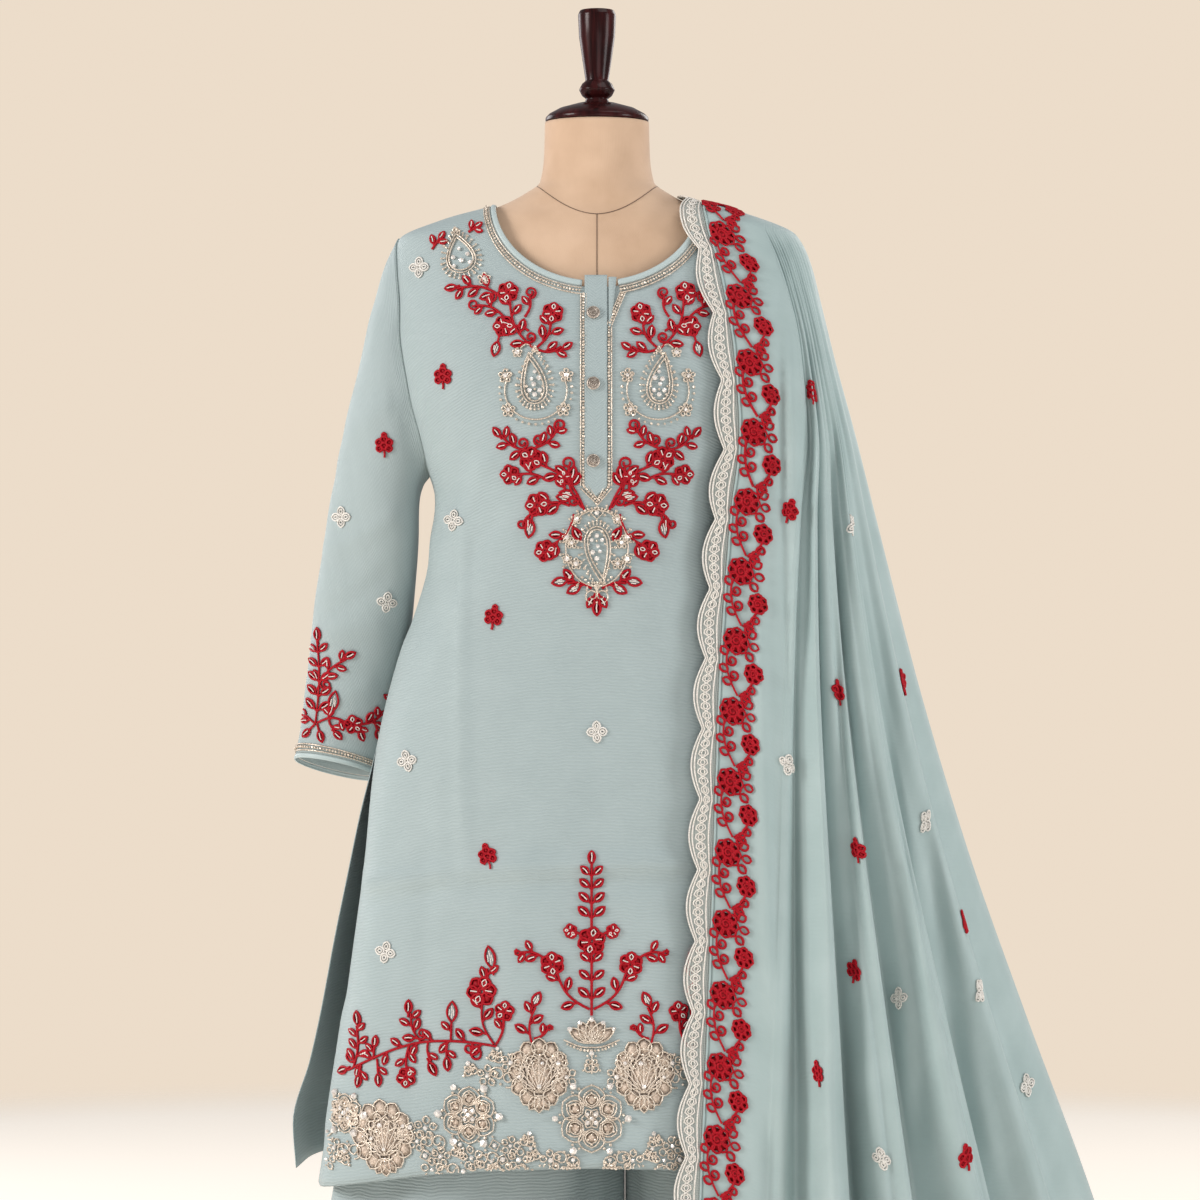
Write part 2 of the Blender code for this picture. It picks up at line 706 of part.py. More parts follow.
def drape_point(fall, column, down):
    """A point of the dupatta; down is 0 on the shoulder line and 1 at the hem."""
    border, count, place = column
    table, panel = fall.table, fall.panel
    tip = row_at(table, DUPATTA_TIP)
    ridge_x = table[-1].outer + (tip.outer - table[-1].outer) * (
        BORDER_SHARE * border + (1 - BORDER_SHARE) * place)
    top = shoulder_height(table, ridge_x)
    wide = tip.outer + BORDER
    hem = row_at(fall.hems, 100 * (BORDER * border + (wide - BORDER) * place) / wide).height
    height = top + (hem - top) * down
    row = row_at(table, height)
    upper = row_at(table, max(height, DUPATTA_TIP))
    across = min(1.0, max(0.0, (ridge_x - upper.edge) / max(1e-6, upper.outer - upper.edge)))
    lower = (BORDER * border + (row.outer - row.edge - BORDER) * place) / (row.outer - row.edge)
    across += (lower - across) * ease((DUPATTA_TIP - height) / DUPATTA_SPREAD)
    # The edge hangs straight down from the kurta's fullest place beneath the lace.
    ring = row_at(panel, min(DUPATTA_TIP, max(height, panel[0].height)))
    under = arc(arc_at((row.edge - LACE_WIDTH - SCALLOP_DEPTH) / ring.half_width))[1]
    edge_depth = ring.side + (ring.depth - ring.side) * under + row.clear
    edge_depth *= arc(arc_at((height - DUPATTA_TIP) / (DUPATTA_TOP - DUPATTA_TIP)))[1]
    wave = 0.4 + 0.6 * math.cos(math.tau * count + FOLD_LEAN * math.sin(math.tau * count))
    fold = row.fold * row_at(fall.crests, count).rise * wave * border * (1 - 0.5 * ease(2 * across - 1))
    if count < 0.5:
        fold *= ease(2 * count)
    deep = arc(arc_at(across))[1]
    x = row.edge + (row.outer - row.edge) * across + 0.8 * fold * across
    return Vector((x, fall.sign * (DUPATTA_GAP + (edge_depth + fold) * deep), height)) * MM


def shoulder_height(table, x):
    """Height at which the dupatta's outer line is x."""
    high, low = DUPATTA_TOP, DUPATTA_TIP
    for _ in range(40):
        middle = (high + low) / 2
        if row_at(table, middle).outer > x:
            low = middle
        else:
            high = middle
    return high


def build_dupatta(home, cloth, net):
    edges = []
    for fall in FALLS:
        columns, rows = drape_columns(fall.crests), []
        for i in range(fall.rows + 1):
            down = (i / fall.rows) ** 2
            rows.append([drape_point(fall, column, down) for column in columns])
        wall(grid(f"dupatta_{fall.name}", rows, cloth, home), CLOTH)
        edges.append([row[0] for row in rows])
    build_lace([*reversed(edges[0]), *edges[1]], home, net)


def build_lace(edge, home, net):
    """The scalloped lace along the dupatta's inner edge, over the shoulder from hem to hem."""
    rows = []
    gone = 0.0
    for start, end in zip(edge, edge[1:]):
        length = (end - start).length / MM
        steps = max(1, round(length / SCALLOP * SCALLOP_STEPS))
        for i in range(steps):
            point = start + (end - start) * i / steps
            rows.append(lace_row(point, gone + length * i / steps))
        gone += length
    rows.append(lace_row(edge[-1], gone))
    wall(grid("dupatta_lace", rows, net, home), LACE)


def lace_row(point, along):
    """Outer and inner edge of the lace beside a point of the cloth's edge."""
    wide = LACE_WIDTH - SCALLOP_DEPTH * (1 - 2 * abs(math.sin(math.pi * along / SCALLOP)))
    rise = LACE_RISE * ease(1 - (DUPATTA_TOP - point.z / MM) / LACE_RISE_LENGTH)
    return [point + Vector((-LACE_GAP, 0, 0)) * MM, point + Vector((-wide, 0, rise)) * MM]


def main():
    clear_scene()
    home = bpy.data.collections.new("Salwar kameez suit on dress form")
    bpy.context.scene.collection.children.link(home)
    crepe = finish("Aqua crepe", AQUA, 0.85)
    chiffon = finish("Aqua chiffon", AQUA_LIGHT, 0.85)
    net = finish("Net lace", NET, 0.9)
    jersey = finish("Beige jersey", JERSEY, 0.9)
    wood = finish("Dark mahogany", MAHOGANY, 0.2)
    silver = finish("Silver button", SILVER, 0.4, 0.8)
    build_form(home, jersey, wood)
    build_panel(FRONT, home, crepe)
    build_panel(BACK, home, crepe)
    build_binding(home, crepe)
    build_placket(home, crepe, silver)
    build_sleeve("right", -1, 0, home, crepe)
    build_sleeve("left", 1, TUCK, home, crepe)
    build_trousers(home, crepe)
    build_dupatta(home, chiffon, net)


main()
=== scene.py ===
"""Looks of a salwar kameez suit on a limbless dress form: cloth, embroidery, lace, form and studio.

Lengths are in millimetres until a mesh is made. +Z is up, the front faces -Y and +X is the wearer's
left. Each cloth follows the same tables of sections as the solid that it stands for.
"""

import math
from collections import namedtuple

import bmesh
import bpy
import numpy as np
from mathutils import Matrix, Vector
from mathutils.bvhtree import BVHTree


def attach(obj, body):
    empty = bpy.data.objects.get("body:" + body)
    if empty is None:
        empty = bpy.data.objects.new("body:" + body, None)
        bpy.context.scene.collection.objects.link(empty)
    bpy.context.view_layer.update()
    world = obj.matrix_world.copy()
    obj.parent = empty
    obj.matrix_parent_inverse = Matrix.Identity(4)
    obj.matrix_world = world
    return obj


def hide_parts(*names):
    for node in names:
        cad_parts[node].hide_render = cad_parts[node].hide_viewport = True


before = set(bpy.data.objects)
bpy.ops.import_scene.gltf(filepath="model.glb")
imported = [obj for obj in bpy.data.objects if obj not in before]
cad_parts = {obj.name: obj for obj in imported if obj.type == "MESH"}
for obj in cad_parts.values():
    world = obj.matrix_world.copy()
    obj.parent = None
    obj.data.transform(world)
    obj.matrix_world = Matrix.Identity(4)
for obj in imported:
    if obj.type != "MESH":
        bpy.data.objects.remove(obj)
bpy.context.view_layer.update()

MM = 0.001
CLOTH = 0.9
SEAT = 0.35
SQUARENESS = 2.3


def table_of(kind, *rows):
    """A table of rows of one kind."""
    return tuple(kind(*row) for row in rows)


# Dress form: half width at the side, depth forwards and backwards.
FormRing = namedtuple("FormRing", "height half_width front back")
FORM_RINGS = table_of(FormRing,
    (840, 165, 99, 116), (870, 167, 102, 117), (950, 148, 98, 102), (1030, 118, 85, 80), (1120, 131, 98, 85),
    (1200, 148, 116, 90), (1280, 156, 103, 91), (1340, 172, 84, 85), (1374.6, 185, 76, 79), (1390.6, 175, 69, 75),
    (1405.6, 145, 62, 70), (1418.6, 101, 56, 65), (1431.6, 74, 54, 61), (1444.6, 57, 53, 58), (1470, 53, 51, 55),
    (1504, 52, 50, 54))

# Turned wood: radius and height of each corner, top to bottom.
Turn = namedtuple("Turn", "radius height")
FINIAL = table_of(Turn,
    (0, 1617), (17, 1616.5), (19, 1612), (18, 1590), (13, 1556), (11.5, 1546), (15, 1543), (18, 1537), (15, 1531),
    (11, 1528), (13, 1523.5), (0, 1523.5))
CAP = table_of(Turn,
    (0, 1523.2), (20, 1523.2), (38, 1518), (48, 1512.5), (51.5, 1509), (51.5, 1505), (49, 1504.3), (0, 1504.3))
POLE_RADIUS = 14
BASE = table_of(Turn, (0, 34), (24, 34), (30, 27), (60, 24), (178, 17), (188, 13), (190, 8), (188, 0), (0, 0))

# Kurta panels: half width at the side edge, depth at the centre line, and how
# far the side edge stands from the middle plane.
Panel = namedtuple("Panel", "height half_width depth side")
KURTA_FRONT = table_of(Panel,
    (450, 281, 186, 26), (627, 253, 168, 14), (767, 233, 153, 4), (877, 221, 142, 0.3), (977, 196, 133, 0.3),
    (1007, 184, 131, 0.3), (1067, 167, 129, 0.3), (1127, 161, 128, 0.3), (1165, 172, 127, 0.4),
    (1240, 197, 121, 0.5), (1300, 206, 107, 0.6), (1345, 206, 91, 0.6), (1372, 202, 83, 0.6), (1387, 197, 78, 0.6),
    (1405, 157, 71, 0.6), (1420, 101, 63, 0.6), (1423, 90, 61, 0.6))
KURTA_BACK = table_of(Panel,
    (458, 306, 178, 8), (502, 309, 174, 9), (567, 291, 166, 9), (707, 261, 155, 5), (847, 229, 138, 0.3),
    (977, 196, 118, 0.3), (1007, 184, 107, 0.3), (1067, 167, 101, 0.3), (1127, 161, 101, 0.3),
    (1165, 172, 102, 0.4), (1240, 197, 101, 0.5), (1300, 206, 97, 0.6), (1345, 206, 91, 0.6), (1372, 202, 85, 0.6),
    (1387, 197, 81, 0.6), (1405, 157, 75, 0.6), (1420, 101, 69, 0.6), (1423, 90, 68, 0.6))
ARMPIT = 1150
SHOULDER_TIP = 1387
# The armhole on a panel: how far round the ring its edge lies, in degrees.
Armhole = namedtuple("Armhole", "height turn")
ARMHOLE_FRONT = table_of(Armhole,
    (1150, 90), (1168, 79), (1200, 73), (1250, 70), (1310, 70), (1350, 73), (1375, 81), (1387, 90))
ARMHOLE_BACK = table_of(Armhole,
    (1150, 90), (1168, 80), (1200, 75), (1250, 73), (1310, 73), (1350, 76), (1375, 83), (1387, 90))
NECK_HALF = 105.5
SLIT_HALF = 3
# Each half panel's cut. Sign is -1 forwards and +1 backwards; slit is half the
# width of the neck opening below the neckline.
Cut = namedtuple("Cut", "name table armhole neck_drop hem_lift columns sign slit")
FRONT = Cut("kurta_front", KURTA_FRONT, ARMHOLE_FRONT, 87, 36, 10, -1, SLIT_HALF)
BACK = Cut("kurta_back", KURTA_BACK, ARMHOLE_BACK, 24, 20, 9, 1, 0)
BINDING_WIDTH = 5
BINDING_GAP = 0.45
BINDING_START_LEFT = 0.53
BINDING_START_RIGHT = 0.37
HEM_FOLDS = 7
HEM_FOLD_DEPTH = 6
HEM_FOLD_TOP = 1000
HEM_FOLD_TURN = 8
CHEST_ROWS = 6
NECK_ROWS = 8

# Placket band and buttons, down the centre front.
PLACKET_LEFT = -12
PLACKET_RIGHT = 10
PLACKET_TOP = 1344
PLACKET_BOTTOM = 1127
PLACKET_POINT = 9
PLACKET_EASE = 0.7
FLAP_LEFT = 11.5
FLAP_RIGHT = 19
FLAP_POINT = 2
FLAP_TOP = 1342
FLAP_BOTTOM = 1292
BUTTON_HEIGHTS = (1306, 1236.5, 1161.5)
BUTTON_X = -3.5
BUTTON_LIFT = 0.45
BUTTON_REACH = 6
BUTTON = table_of(Turn, (0, 4.2), (2.6, 3.8), (4.6, 2.9), (5.6, 3.1), (6.5, 2.2), (6.2, 0.4), (5.4, 0), (0, 0))

# Sleeve sections, from the armhole to the cuff: outer and inner end of each
# section, how far back its middle lies, and its half depth.
Sleeve = namedtuple("Sleeve", "along outer_x outer_z inner_x inner_z back depth")
SLEEVE = table_of(Sleeve,
    (0, 199, 1386, 164, 1152, 0, 44), (8, 213, 1356, 171, 1143, 1, 47), (22, 231, 1282, 177, 1124, 4, 50),
    (40, 252, 1197, 181, 1082, 12, 50), (60, 272, 1107, 185, 1020, 32, 47), (80, 289, 987, 200, 940, 56, 43),
    (92, 298, 920, 212, 885, 68, 40), (100, 307, 869, 220, 850, 74, 38))
CUFF_DROP = 9
SLEEVE_GAP = 1.75
SLEEVE_BLEND = 45
SLEEVE_SPACING = 1.15
CUFF_EDGES = (0.6, 3, 5.2)
TUCK = 15
TUCK_LENGTH = 36

# Trousers: the hips, then each leg by its outer side, its inner side, and its
# depth forwards and backwards.
Hip = namedtuple("Hip", "height half_width front back")
HIPS = table_of(Hip, (715, 205, 116, 126), (860, 177, 109, 123), (950, 160, 108, 112), (1004, 127, 92, 90.5))
Leg = namedtuple("Leg", "height outer front back")
LEGS = table_of(Leg,
    (40, 338, 150, 156), (250, 300, 138, 144), (450, 263, 126, 132), (600, 238, 120, 126), (720, 214, 114, 122),
    (1004, 200, 100, 100))
LEG_SPLIT_RIGHT = 27.4
LEG_SPLIT_LEFT = 28.6
SEAT_GAP = 0.35
LEG_FOLDS = 7
LEG_FOLD_DEPTH = 11
FORK_TOP = 832
FORK = 712
WAISTBAND_BOTTOM = 1004.4
WAISTBAND_TOP = 1034
WAISTBAND_OFF = 2.1

# Dupatta, front and back of the wearer's left shoulder: the cloth's inner
# edge, its clearance off the kurta there, its outer line, and its fold depth.
Drape = namedtuple("Drape", "height edge clear outer fold")
DRAPE_FRONT = table_of(Drape,
    (30, 90, 30, 610, 42), (230, 93, 27, 548, 38), (437, 98, 20, 483, 32), (627, 107, 15, 415, 25),
    (777, 113, 13, 364, 19), (937, 119, 12, 318, 13), (1107, 131, 14, 276, 8), (1187, 140, 10, 257, 5),
    (1267, 135, 7, 236, 3), (1327, 126, 6, 222, 1), (1360, 119, 5, 214, 0), (1390.4, 110, 4, 199, 0),
    (1412, 106, 3.5, 146, 0), (1423, 104, 3, 106, 0))
DRAPE_BACK = table_of(Drape,
    (30, 90, 34, 610, 42), (230, 93, 31, 548, 38), (437, 98, 27, 483, 32), (627, 107, 29, 415, 25),
    (777, 113, 30, 364, 19), (937, 117, 32, 318, 13), (1107, 120, 26, 276, 8), (1187, 119, 17, 257, 5),
    (1267, 118, 9, 236, 3), (1327, 117, 6, 222, 1), (1360, 116, 5, 214, 0), (1390.4, 110, 4, 199, 0),
    (1412, 106, 3.5, 146, 0), (1423, 104, 3, 106, 0))
# The crest of each fold: how far it lies from the border to the outer line,
# its count, and how high it stands against the others.
Crest = namedtuple("Crest", "count across rise")
CRESTS_FRONT = table_of(Crest,
    (0, 0.04, 0.5), (1, 0.2, 0.9), (2, 0.38, 0.7), (3, 0.6, 1.1), (4, 0.82, 1.0), (5, 1.0, 0.8))
CRESTS_BACK = table_of(Crest, (0, 0.06, 0.6), (1, 0.3, 1.1), (2, 0.55, 0.9), (3, 0.79, 1.1), (4, 1.0, 0.8))
# The height that the hem hangs at, across the cloth in hundredths.
Hem = namedtuple("Hem", "across height")
HEM_FRONT = table_of(Hem, (0, 160), (20, 140), (40, 85), (55, 36), (70, 110), (80, 215), (90, 330), (100, 410))
HEM_BACK = table_of(Hem, (0, 320), (20, 290), (40, 180), (56, 70), (70, 130), (80, 225), (90, 332), (100, 410))
# Each fall of the dupatta, with the kurta panel that it hangs over.
Fall = namedtuple("Fall", "name table panel crests hems sign rows")
FALLS = (
    Fall("front", DRAPE_FRONT, KURTA_FRONT, CRESTS_FRONT, HEM_FRONT, -1, 14),
    Fall("back", DRAPE_BACK, KURTA_BACK, CRESTS_BACK, HEM_BACK, 1, 12),
)
DUPATTA_TOP = 1423
DUPATTA_TIP = 1390.4
DUPATTA_SPREAD = 110
FOLD_LEAN = 0.35
PLEAT_DEPTH = 2.6
PLEAT_SHARE = 0.24
BORDER = 62
BORDER_SHARE = 0.6
LACE_WIDTH = 21
SCALLOP = 68
SCALLOP_DEPTH = 5
LACE_GAP = 0.8
LACE_RISE = 6
LACE_RISE_LENGTH = 30
LACE_STEP = 3.0


# A motif in its place: x and height in millimetres, turn in degrees clockwise, and size.
Sew = namedtuple("Sew", "motif x z turn size")
# A stem that grows from x, z at a turn from upright and bows to one side, with leaves by turns
# or in pairs along it and a head on its tip.
Spray = namedtuple("Spray", "x z turn length bow leaves size head head_size paired", defaults=(False,))

# The yoke, drawn on the wearer's right and sewn again as a mirror image on the left.
YOKE_SPRAYS = table_of(Spray,
    (-60, 1270, -25, 58, -8, 5, 12, "bloom", 10), (-92, 1322, -78, 46, 6, 5, 12, "leaf", 12),
    (-66, 1288, -78, 20, 3, 1, 10, "bloom", 10), (-94, 1286, -165, 8, 0, 0, 0, "leaf", 15),
    (-90, 1302, -66, 30, 4, 3, 10, "curl", 6), (-58, 1272, 24, 32, 5, 3, 12, "bloom", 10),
    (-58, 1270, 84, 24, 4, 2, 11, "leaf", 11), (-70, 1302, 12, 22, 3, 1, 10, "scroll", 6),
    (-12, 1114, -46, 66, 9, 4, 14, "bloom", 11), (-14, 1116, -18, 42, -5, 3, 14, "scroll", 7),
    (-66, 1172, -60, 30, -4, 4, 11, "leaf", 11), (-60, 1174, 48, 30, 4, 4, 10, "curl", 6),
    (-46, 1142, -80, 34, 4, 3, 11, "bloom", 9), (-26, 1118, -88, 26, 3, 2, 13, "bloom", 11),
    (-62, 1110, -170, 6, 0, 0, 0, "leaf", 17), (-22, 1110, -142, 40, -6, 3, 13, "bloom", 10),
    (-34, 1128, 8, 14, 2, 1, 10, "bloom", 7), (-58, 1112, -128, 16, 2, 1, 9, "curl", 5),
    (-162, 1372, 35, 12, 0, 2, 9, "leaf", 9), (-126, 1388, 55, 8, 0, 2, 8, "leaf", 8))
YOKE_SILVER = (
    Sew("paisley", -60, 1217, 0, 50), Sew("teardrop", -130, 1348, -12, 40), Sew("knot", -110, 1341, 0, 6),
)
MEDALLION = table_of(Sew,
    ("point", 0, 1070, 180, 56), ("diamond", 0, 1111, 0, 12), ("curls", 0, 1031, 0, 9), ("knot", -24, 1082, 0, 5.5),
    ("knot", -20, 1062, 0, 5.5), ("knot", 24, 1082, 0, 5.5), ("knot", 20, 1062, 0, 5.5), ("leaf", 0, 1019, 180, 14))
MEDALLION_SPRAYS = (
    Spray(-5, 1038, -78, 24, 3, 2, 14, "leaf", 15), Spray(-2, 1032, -150, 2, 0, 0, 0, "leaf", 12),
)

# The small tree above the hem and the sprays on one side of it.
TRUNK = -5
TREE_TRUNK = (
    Spray(TRUNK, 630, 0, 64, 0, 6, 12, "bloom", 13, True), Spray(TRUNK, 710, 0, 64, 0, 8, 12, "leaf", 12, True),
)
TREE_SPRAYS = table_of(Spray,
    (-7, 636, -40, 50, -7, 3, 12, "bloom", 11), (-50, 684, -78, 24, 3, 3, 10, "knob", 4),
    (-62, 604, 6, 34, -4, 3, 12, "leaf", 15), (-60, 608, 55, 16, 2, 1, 9, "knob", 4),
    (-14, 704, -62, 10, 2, 1, 8, "bloom", 6))

# The flowering vine along the hem, and the silver flowers under it.
VINE_SPRAYS = table_of(Spray,
    (-95, 600, -102, 150, 16, 9, 11, "leaf", 12), (-98, 602, -14, 44, -6, 3, 13, "bloom", 14),
    (-110, 656, 16, 18, 3, 2, 11, "leaf", 22), (-96, 602, 14, 28, 3, 1, 10, "bloom", 9),
    (-140, 603, 2, 18, 0, 1, 10, "leaf", 20), (-168, 600, -22, 30, -4, 4, 11, "leaf", 13),
    (-236, 572, 4, 40, 3, 6, 10, "leaf", 14), (-216, 582, 6, 12, 0, 1, 9, "leaf", 11),
    (-180, 599, 186, 28, 2, 3, 10, "bloom", 9), (-145, 602, 175, 14, 0, 1, 9, "leaf", 13),
    (-162, 601, 170, 18, 2, 1, 9, "leaf", 14), (-212, 583, 176, 14, 0, 1, 9, "leaf", 12),
    (-228, 576, 190, 10, 0, 1, 9, "leaf", 12), (-118, 603, 170, 8, 2, 0, 0, "curl", 7))
HEM_SILVER = table_of(Sew,
    ("peony", -55, 540, 0, 68), ("jewel", -122, 534, 0, 28), ("peony", -202, 474, -6, 70),
    ("jewel", -244, 528, 0, 19))
HEM_MIDDLE = (
    Sew("lotus", TRUNK, 604, 0, 58), Sew("jewel", TRUNK, 533, 0, 33), Sew("wiresprig", TRUNK, 575, 0, 17),
)
FILLING = ("knot", "wiresprig", "knot", "curls", "diamond")
# The upper edge of the silver band across the hem.
Band = namedtuple("Band", "across height")
SILVER_TOP = table_of(Band, (-260, 540), (-170, 525), (-120, 572), (-85, 612), (-5, 600))

# Small scattered sprigs as x and height.
KURTA_RED = ((-150, 1245), (-100, 1010), (-105, 780))
KURTA_WHITE = ((-175, 1355), (-140, 1105), (-185, 870), (-205, 685), (0, 900))
SLEEVE_RED = ((-210, 1180),)
SLEEVE_WHITE = ((-255, 1110), (-210, 1025))
FALL_RED = ((210, 1230), (185, 1110), (235, 940), (300, 945), (250, 790), (360, 715), (245, 670),
            (210, 575), (350, 495))
FALL_WHITE = ((245, 1100), (185, 870), (320, 810), (290, 640), (370, 650), (270, 500), (420, 550))

# The spray on the sleeve above the cuff.
CUFF_SPRAYS = table_of(Spray,
    (-284, 902, 2, 84, 3, 10, 12, "leaf", 13, True), (-282, 936, 44, 44, -5, 5, 11, "leaf", 12),
    (-282, 903, 92, 32, -6, 2, 10, "bloom", 9), (-269, 906, 12, 8, 0, 1, 9, "leaf", 22),
    (-240, 902, 66, 24, 3, 3, 10, "knob", 4), (-284, 902, -50, 12, 0, 1, 9, "leaf", 11),
    (-206, 920, 0, 12, 0, 2, 9, "leaf", 11), (-284, 902, 225, 8, 0, 0, 0, "leaf", 11),
    (-282, 902, 165, 7, 0, 0, 0, "leaf", 12), (-270, 906, 150, 12, 1, 1, 8, "leaf", 11),
    (-242, 902, 160, 7, 0, 1, 8, "leaf", 11), (-226, 908, 165, 12, 0, 1, 8, "leaf", 11))


# ---- Curves through the tables ----


def smooth(keys, values, at):
    """Values at some keys, on a smooth curve through the points that never overshoots them."""
    keys, values = np.array(keys, float), np.array(values, float)
    gaps = np.diff(keys)
    rates = np.diff(values) / gaps
    before, after = rates[:-1], rates[1:]
    both = np.where(before * after > 0, before + after, 1.0)
    inner = np.where(before * after > 0, 2 * before * after / both, 0.0)
    slopes = np.concatenate((rates[:1], inner, rates[-1:]))
    at = np.clip(at, keys[0], keys[-1])
    i = np.clip(np.searchsorted(keys, at, "right") - 1, 0, len(keys) - 2)
    t = (at - keys[i]) / gaps[i]
    rise = values[i + 1] - values[i]
    start, end = slopes[i] * gaps[i], slopes[i + 1] * gaps[i]
    return values[i] + t * start + t * t * (3 * rise - 2 * start - end) + t**3 * (start + end - 2 * rise)


def row_at(table, key):
    """A row between the rows of a table, read at its first column."""
    columns = list(zip(*table))
    return type(table[0])(key, *(smooth(columns[0], column, key) for column in columns[1:]))


def ease(t):
    """Goes from 0 to 1 with no sharp start or stop."""
    t = np.clip(t, 0.0, 1.0)
    return t * t * (3 - 2 * t)


def arc(t):
    """The two sides of a quarter of a rounded square, at t from 0 to 1."""
    angle = np.radians(90) * np.clip(t, 0.0, 1.0)
    power = 2 / SQUARENESS
    return np.sin(angle) ** power, np.maximum(0.0, np.cos(angle)) ** power


def arc_at(across):
    """The t at which arc's first side is across."""
    return np.arcsin(np.clip(across, 0.0, 1.0) ** (SQUARENESS / 2)) / np.radians(90)


def stack(x, y, z):
    return np.stack(np.broadcast_arrays(x, y, z), axis=-1).astype(float)


# ---- Creases ----

# A soft ridge, or a trough where depth is negative, from one place to another
# as seen from the front or the back; bow is how far its middle swings aside.
Crease = namedtuple("Crease", "x0 z0 x1 z1 bow width depth")


def crease_depth(x, z, creases):
    depth = np.zeros(np.shape(x))
    for crease in creases:
        dx, dz = crease.x1 - crease.x0, crease.z1 - crease.z0
        length = math.hypot(dx, dz)
        t = ((x - crease.x0) * dx + (z - crease.z0) * dz) / length**2
        off = ((x - crease.x0) * dz - (z - crease.z0) * dx) / length - crease.bow * 4 * t * (1 - t)
        depth += crease.depth * np.exp(-((off / crease.width) ** 2)) * ease(t / 0.2) * ease((1 - t) / 0.2)
    return depth


def ripple(x, z):
    """The faint unevenness of hanging cloth."""
    slow = np.sin(x / 31 + z / 83) + 0.7 * np.sin(x / 17 - z / 57 + 1.3) + 0.5 * np.sin(z / 23 + x / 71 + 0.4)
    return 0.28 * slow


# ---- Meshes ----


def threads_map(points, first=0):
    """Lengths along the two threads of a grid of cloth, in metres, from one column."""
    steps = np.linalg.norm(np.diff(points, axis=1), axis=2)
    across = np.concatenate((np.zeros((len(points), 1)), np.cumsum(steps, axis=1)), axis=1)
    across -= across[:, first:first + 1]
    steps = np.linalg.norm(np.diff(points, axis=0), axis=2)
    along = np.concatenate((np.zeros((1, points.shape[1])), np.cumsum(steps, axis=0)), axis=0)
    return np.stack((across, along), axis=-1) * MM


def new_object(name, mesh, material):
    obj = bpy.data.objects.new(name, mesh)
    bpy.context.scene.collection.objects.link(obj)
    if material:
        mesh.materials.append(material)
    return obj


def cloth(name, grids, material, thickness=CLOTH, closed=False, maps=None):
    """One piece of cloth through one or more grids of points, as a thin wall with its own thread map."""
    vertices, faces, corners = [], [], []
    for number, points in enumerate(grids):
        rows, columns = points.shape[:2]
        uv = maps[number] if maps else threads_map(points)
        base = len(vertices)
        width = columns - 1 if closed else columns
        vertices += list(points[:, :width].reshape(-1, 3) * MM)
        for i in range(rows - 1):
            for j in range(columns - 1):
                k = (j + 1) % width if closed else j + 1
                faces.append((base + i * width + j, base + i * width + k,
                              base + (i + 1) * width + k, base + (i + 1) * width + j))
                corners += [uv[i, j], uv[i, j + 1], uv[i + 1, j + 1], uv[i + 1, j]]
    mesh = bpy.data.meshes.new(name)
    mesh.from_pydata([tuple(v) for v in vertices], [], faces)
    layer = mesh.uv_layers.new(name="threads")
    layer.data.foreach_set("uv", np.array(corners, np.float32).ravel())
    shape = bmesh.new()
    shape.from_mesh(mesh)
    bmesh.ops.remove_doubles(shape, verts=shape.verts, dist=0.00002)
    bmesh.ops.recalc_face_normals(shape, faces=shape.faces)
    shape.to_mesh(mesh)
    shape.free()
    mesh.shade_smooth()
    obj = new_object(name, mesh, material)
    if thickness:
        shell = obj.modifiers.new("Wall", "SOLIDIFY")
        shell.thickness = thickness * MM
        shell.offset = 0
    return obj


def settled(obj):
    """The object with its modifiers turned into plain mesh."""
    mesh = bpy.data.meshes.new_from_object(obj.evaluated_get(bpy.context.evaluated_depsgraph_get()))
    obj.modifiers.clear()
    obj.data = mesh
    return obj


def surface_of(*objects):
    """A tree of the objects' faces, to find places on them."""
    points, faces = [], []
    depsgraph = bpy.context.evaluated_depsgraph_get()
    for obj in objects:
        mesh = obj.evaluated_get(depsgraph).to_mesh()
        base = len(points)
        points += [vertex.co.copy() for vertex in mesh.vertices]
        faces += [tuple(base + i for i in face.vertices) for face in mesh.polygons]
    return BVHTree.FromPolygons(points, faces)


def finished(shape, name):
    """A smooth mesh from the shape, which is then let go."""
    mesh = bpy.data.meshes.new(name)
    shape.to_mesh(mesh)
    shape.free()
    mesh.shade_smooth()
    return mesh


def cloth_normals(grid, out=None):
    """The directions square to a grid of cloth, on the side that out points to if it is given."""
    normals = np.cross(np.gradient(grid, axis=1), np.gradient(grid, axis=0))
    normals /= np.linalg.norm(normals, axis=2, keepdims=True) + 1e-9
    return normals if out is None or (normals @ np.array(out)).sum() > 0 else -normals


def running(grid, axis):
    """How far each point lies along its row, axis 1, or its column, axis 0."""
    steps = np.linalg.norm(np.diff(grid, axis=axis), axis=2)
    return np.insert(np.cumsum(steps, axis=axis), 0, 0, axis=axis)


# ---- Kurta ----

FRONT_CREASES = table_of(Crease,
    (-128, 1145, -126, 750, 4, 6, 4.2), (-160, 1060, -105, 1180, 5, 10, 2.4), (-150, 1010, -88, 1120, -4, 9, -2.0),
    (-178, 1120, -140, 1000, -5, 9, 1.8), (-236, 748, -136, 767, 2, 7, 5.5), (-236, 732, -136, 751, 2, 9, -3.0),
    (-160, 764, 110, 774, -3, 7, 5.5), (-160, 748, 110, 758, -3, 9, -3.0), (20, 1120, 60, 860, 5, 16, 1.2),
    (80, 1000, 60, 700, -5, 14, -1.3), (-195, 900, -215, 560, 8, 13, 2.4), (-170, 880, -178, 520, -6, 11, -2.2),
    (-60, 840, -80, 500, 6, 22, 2.0), (60, 820, 74, 500, -5, 20, 2.2), (-20, 800, -26, 490, 2, 14, -1.6),
    (-250, 640, -266, 480, 2, 10, 2.5), (-112, 700, -128, 480, -4, 14, -2.0), (20, 760, 30, 500, 4, 16, -1.6))
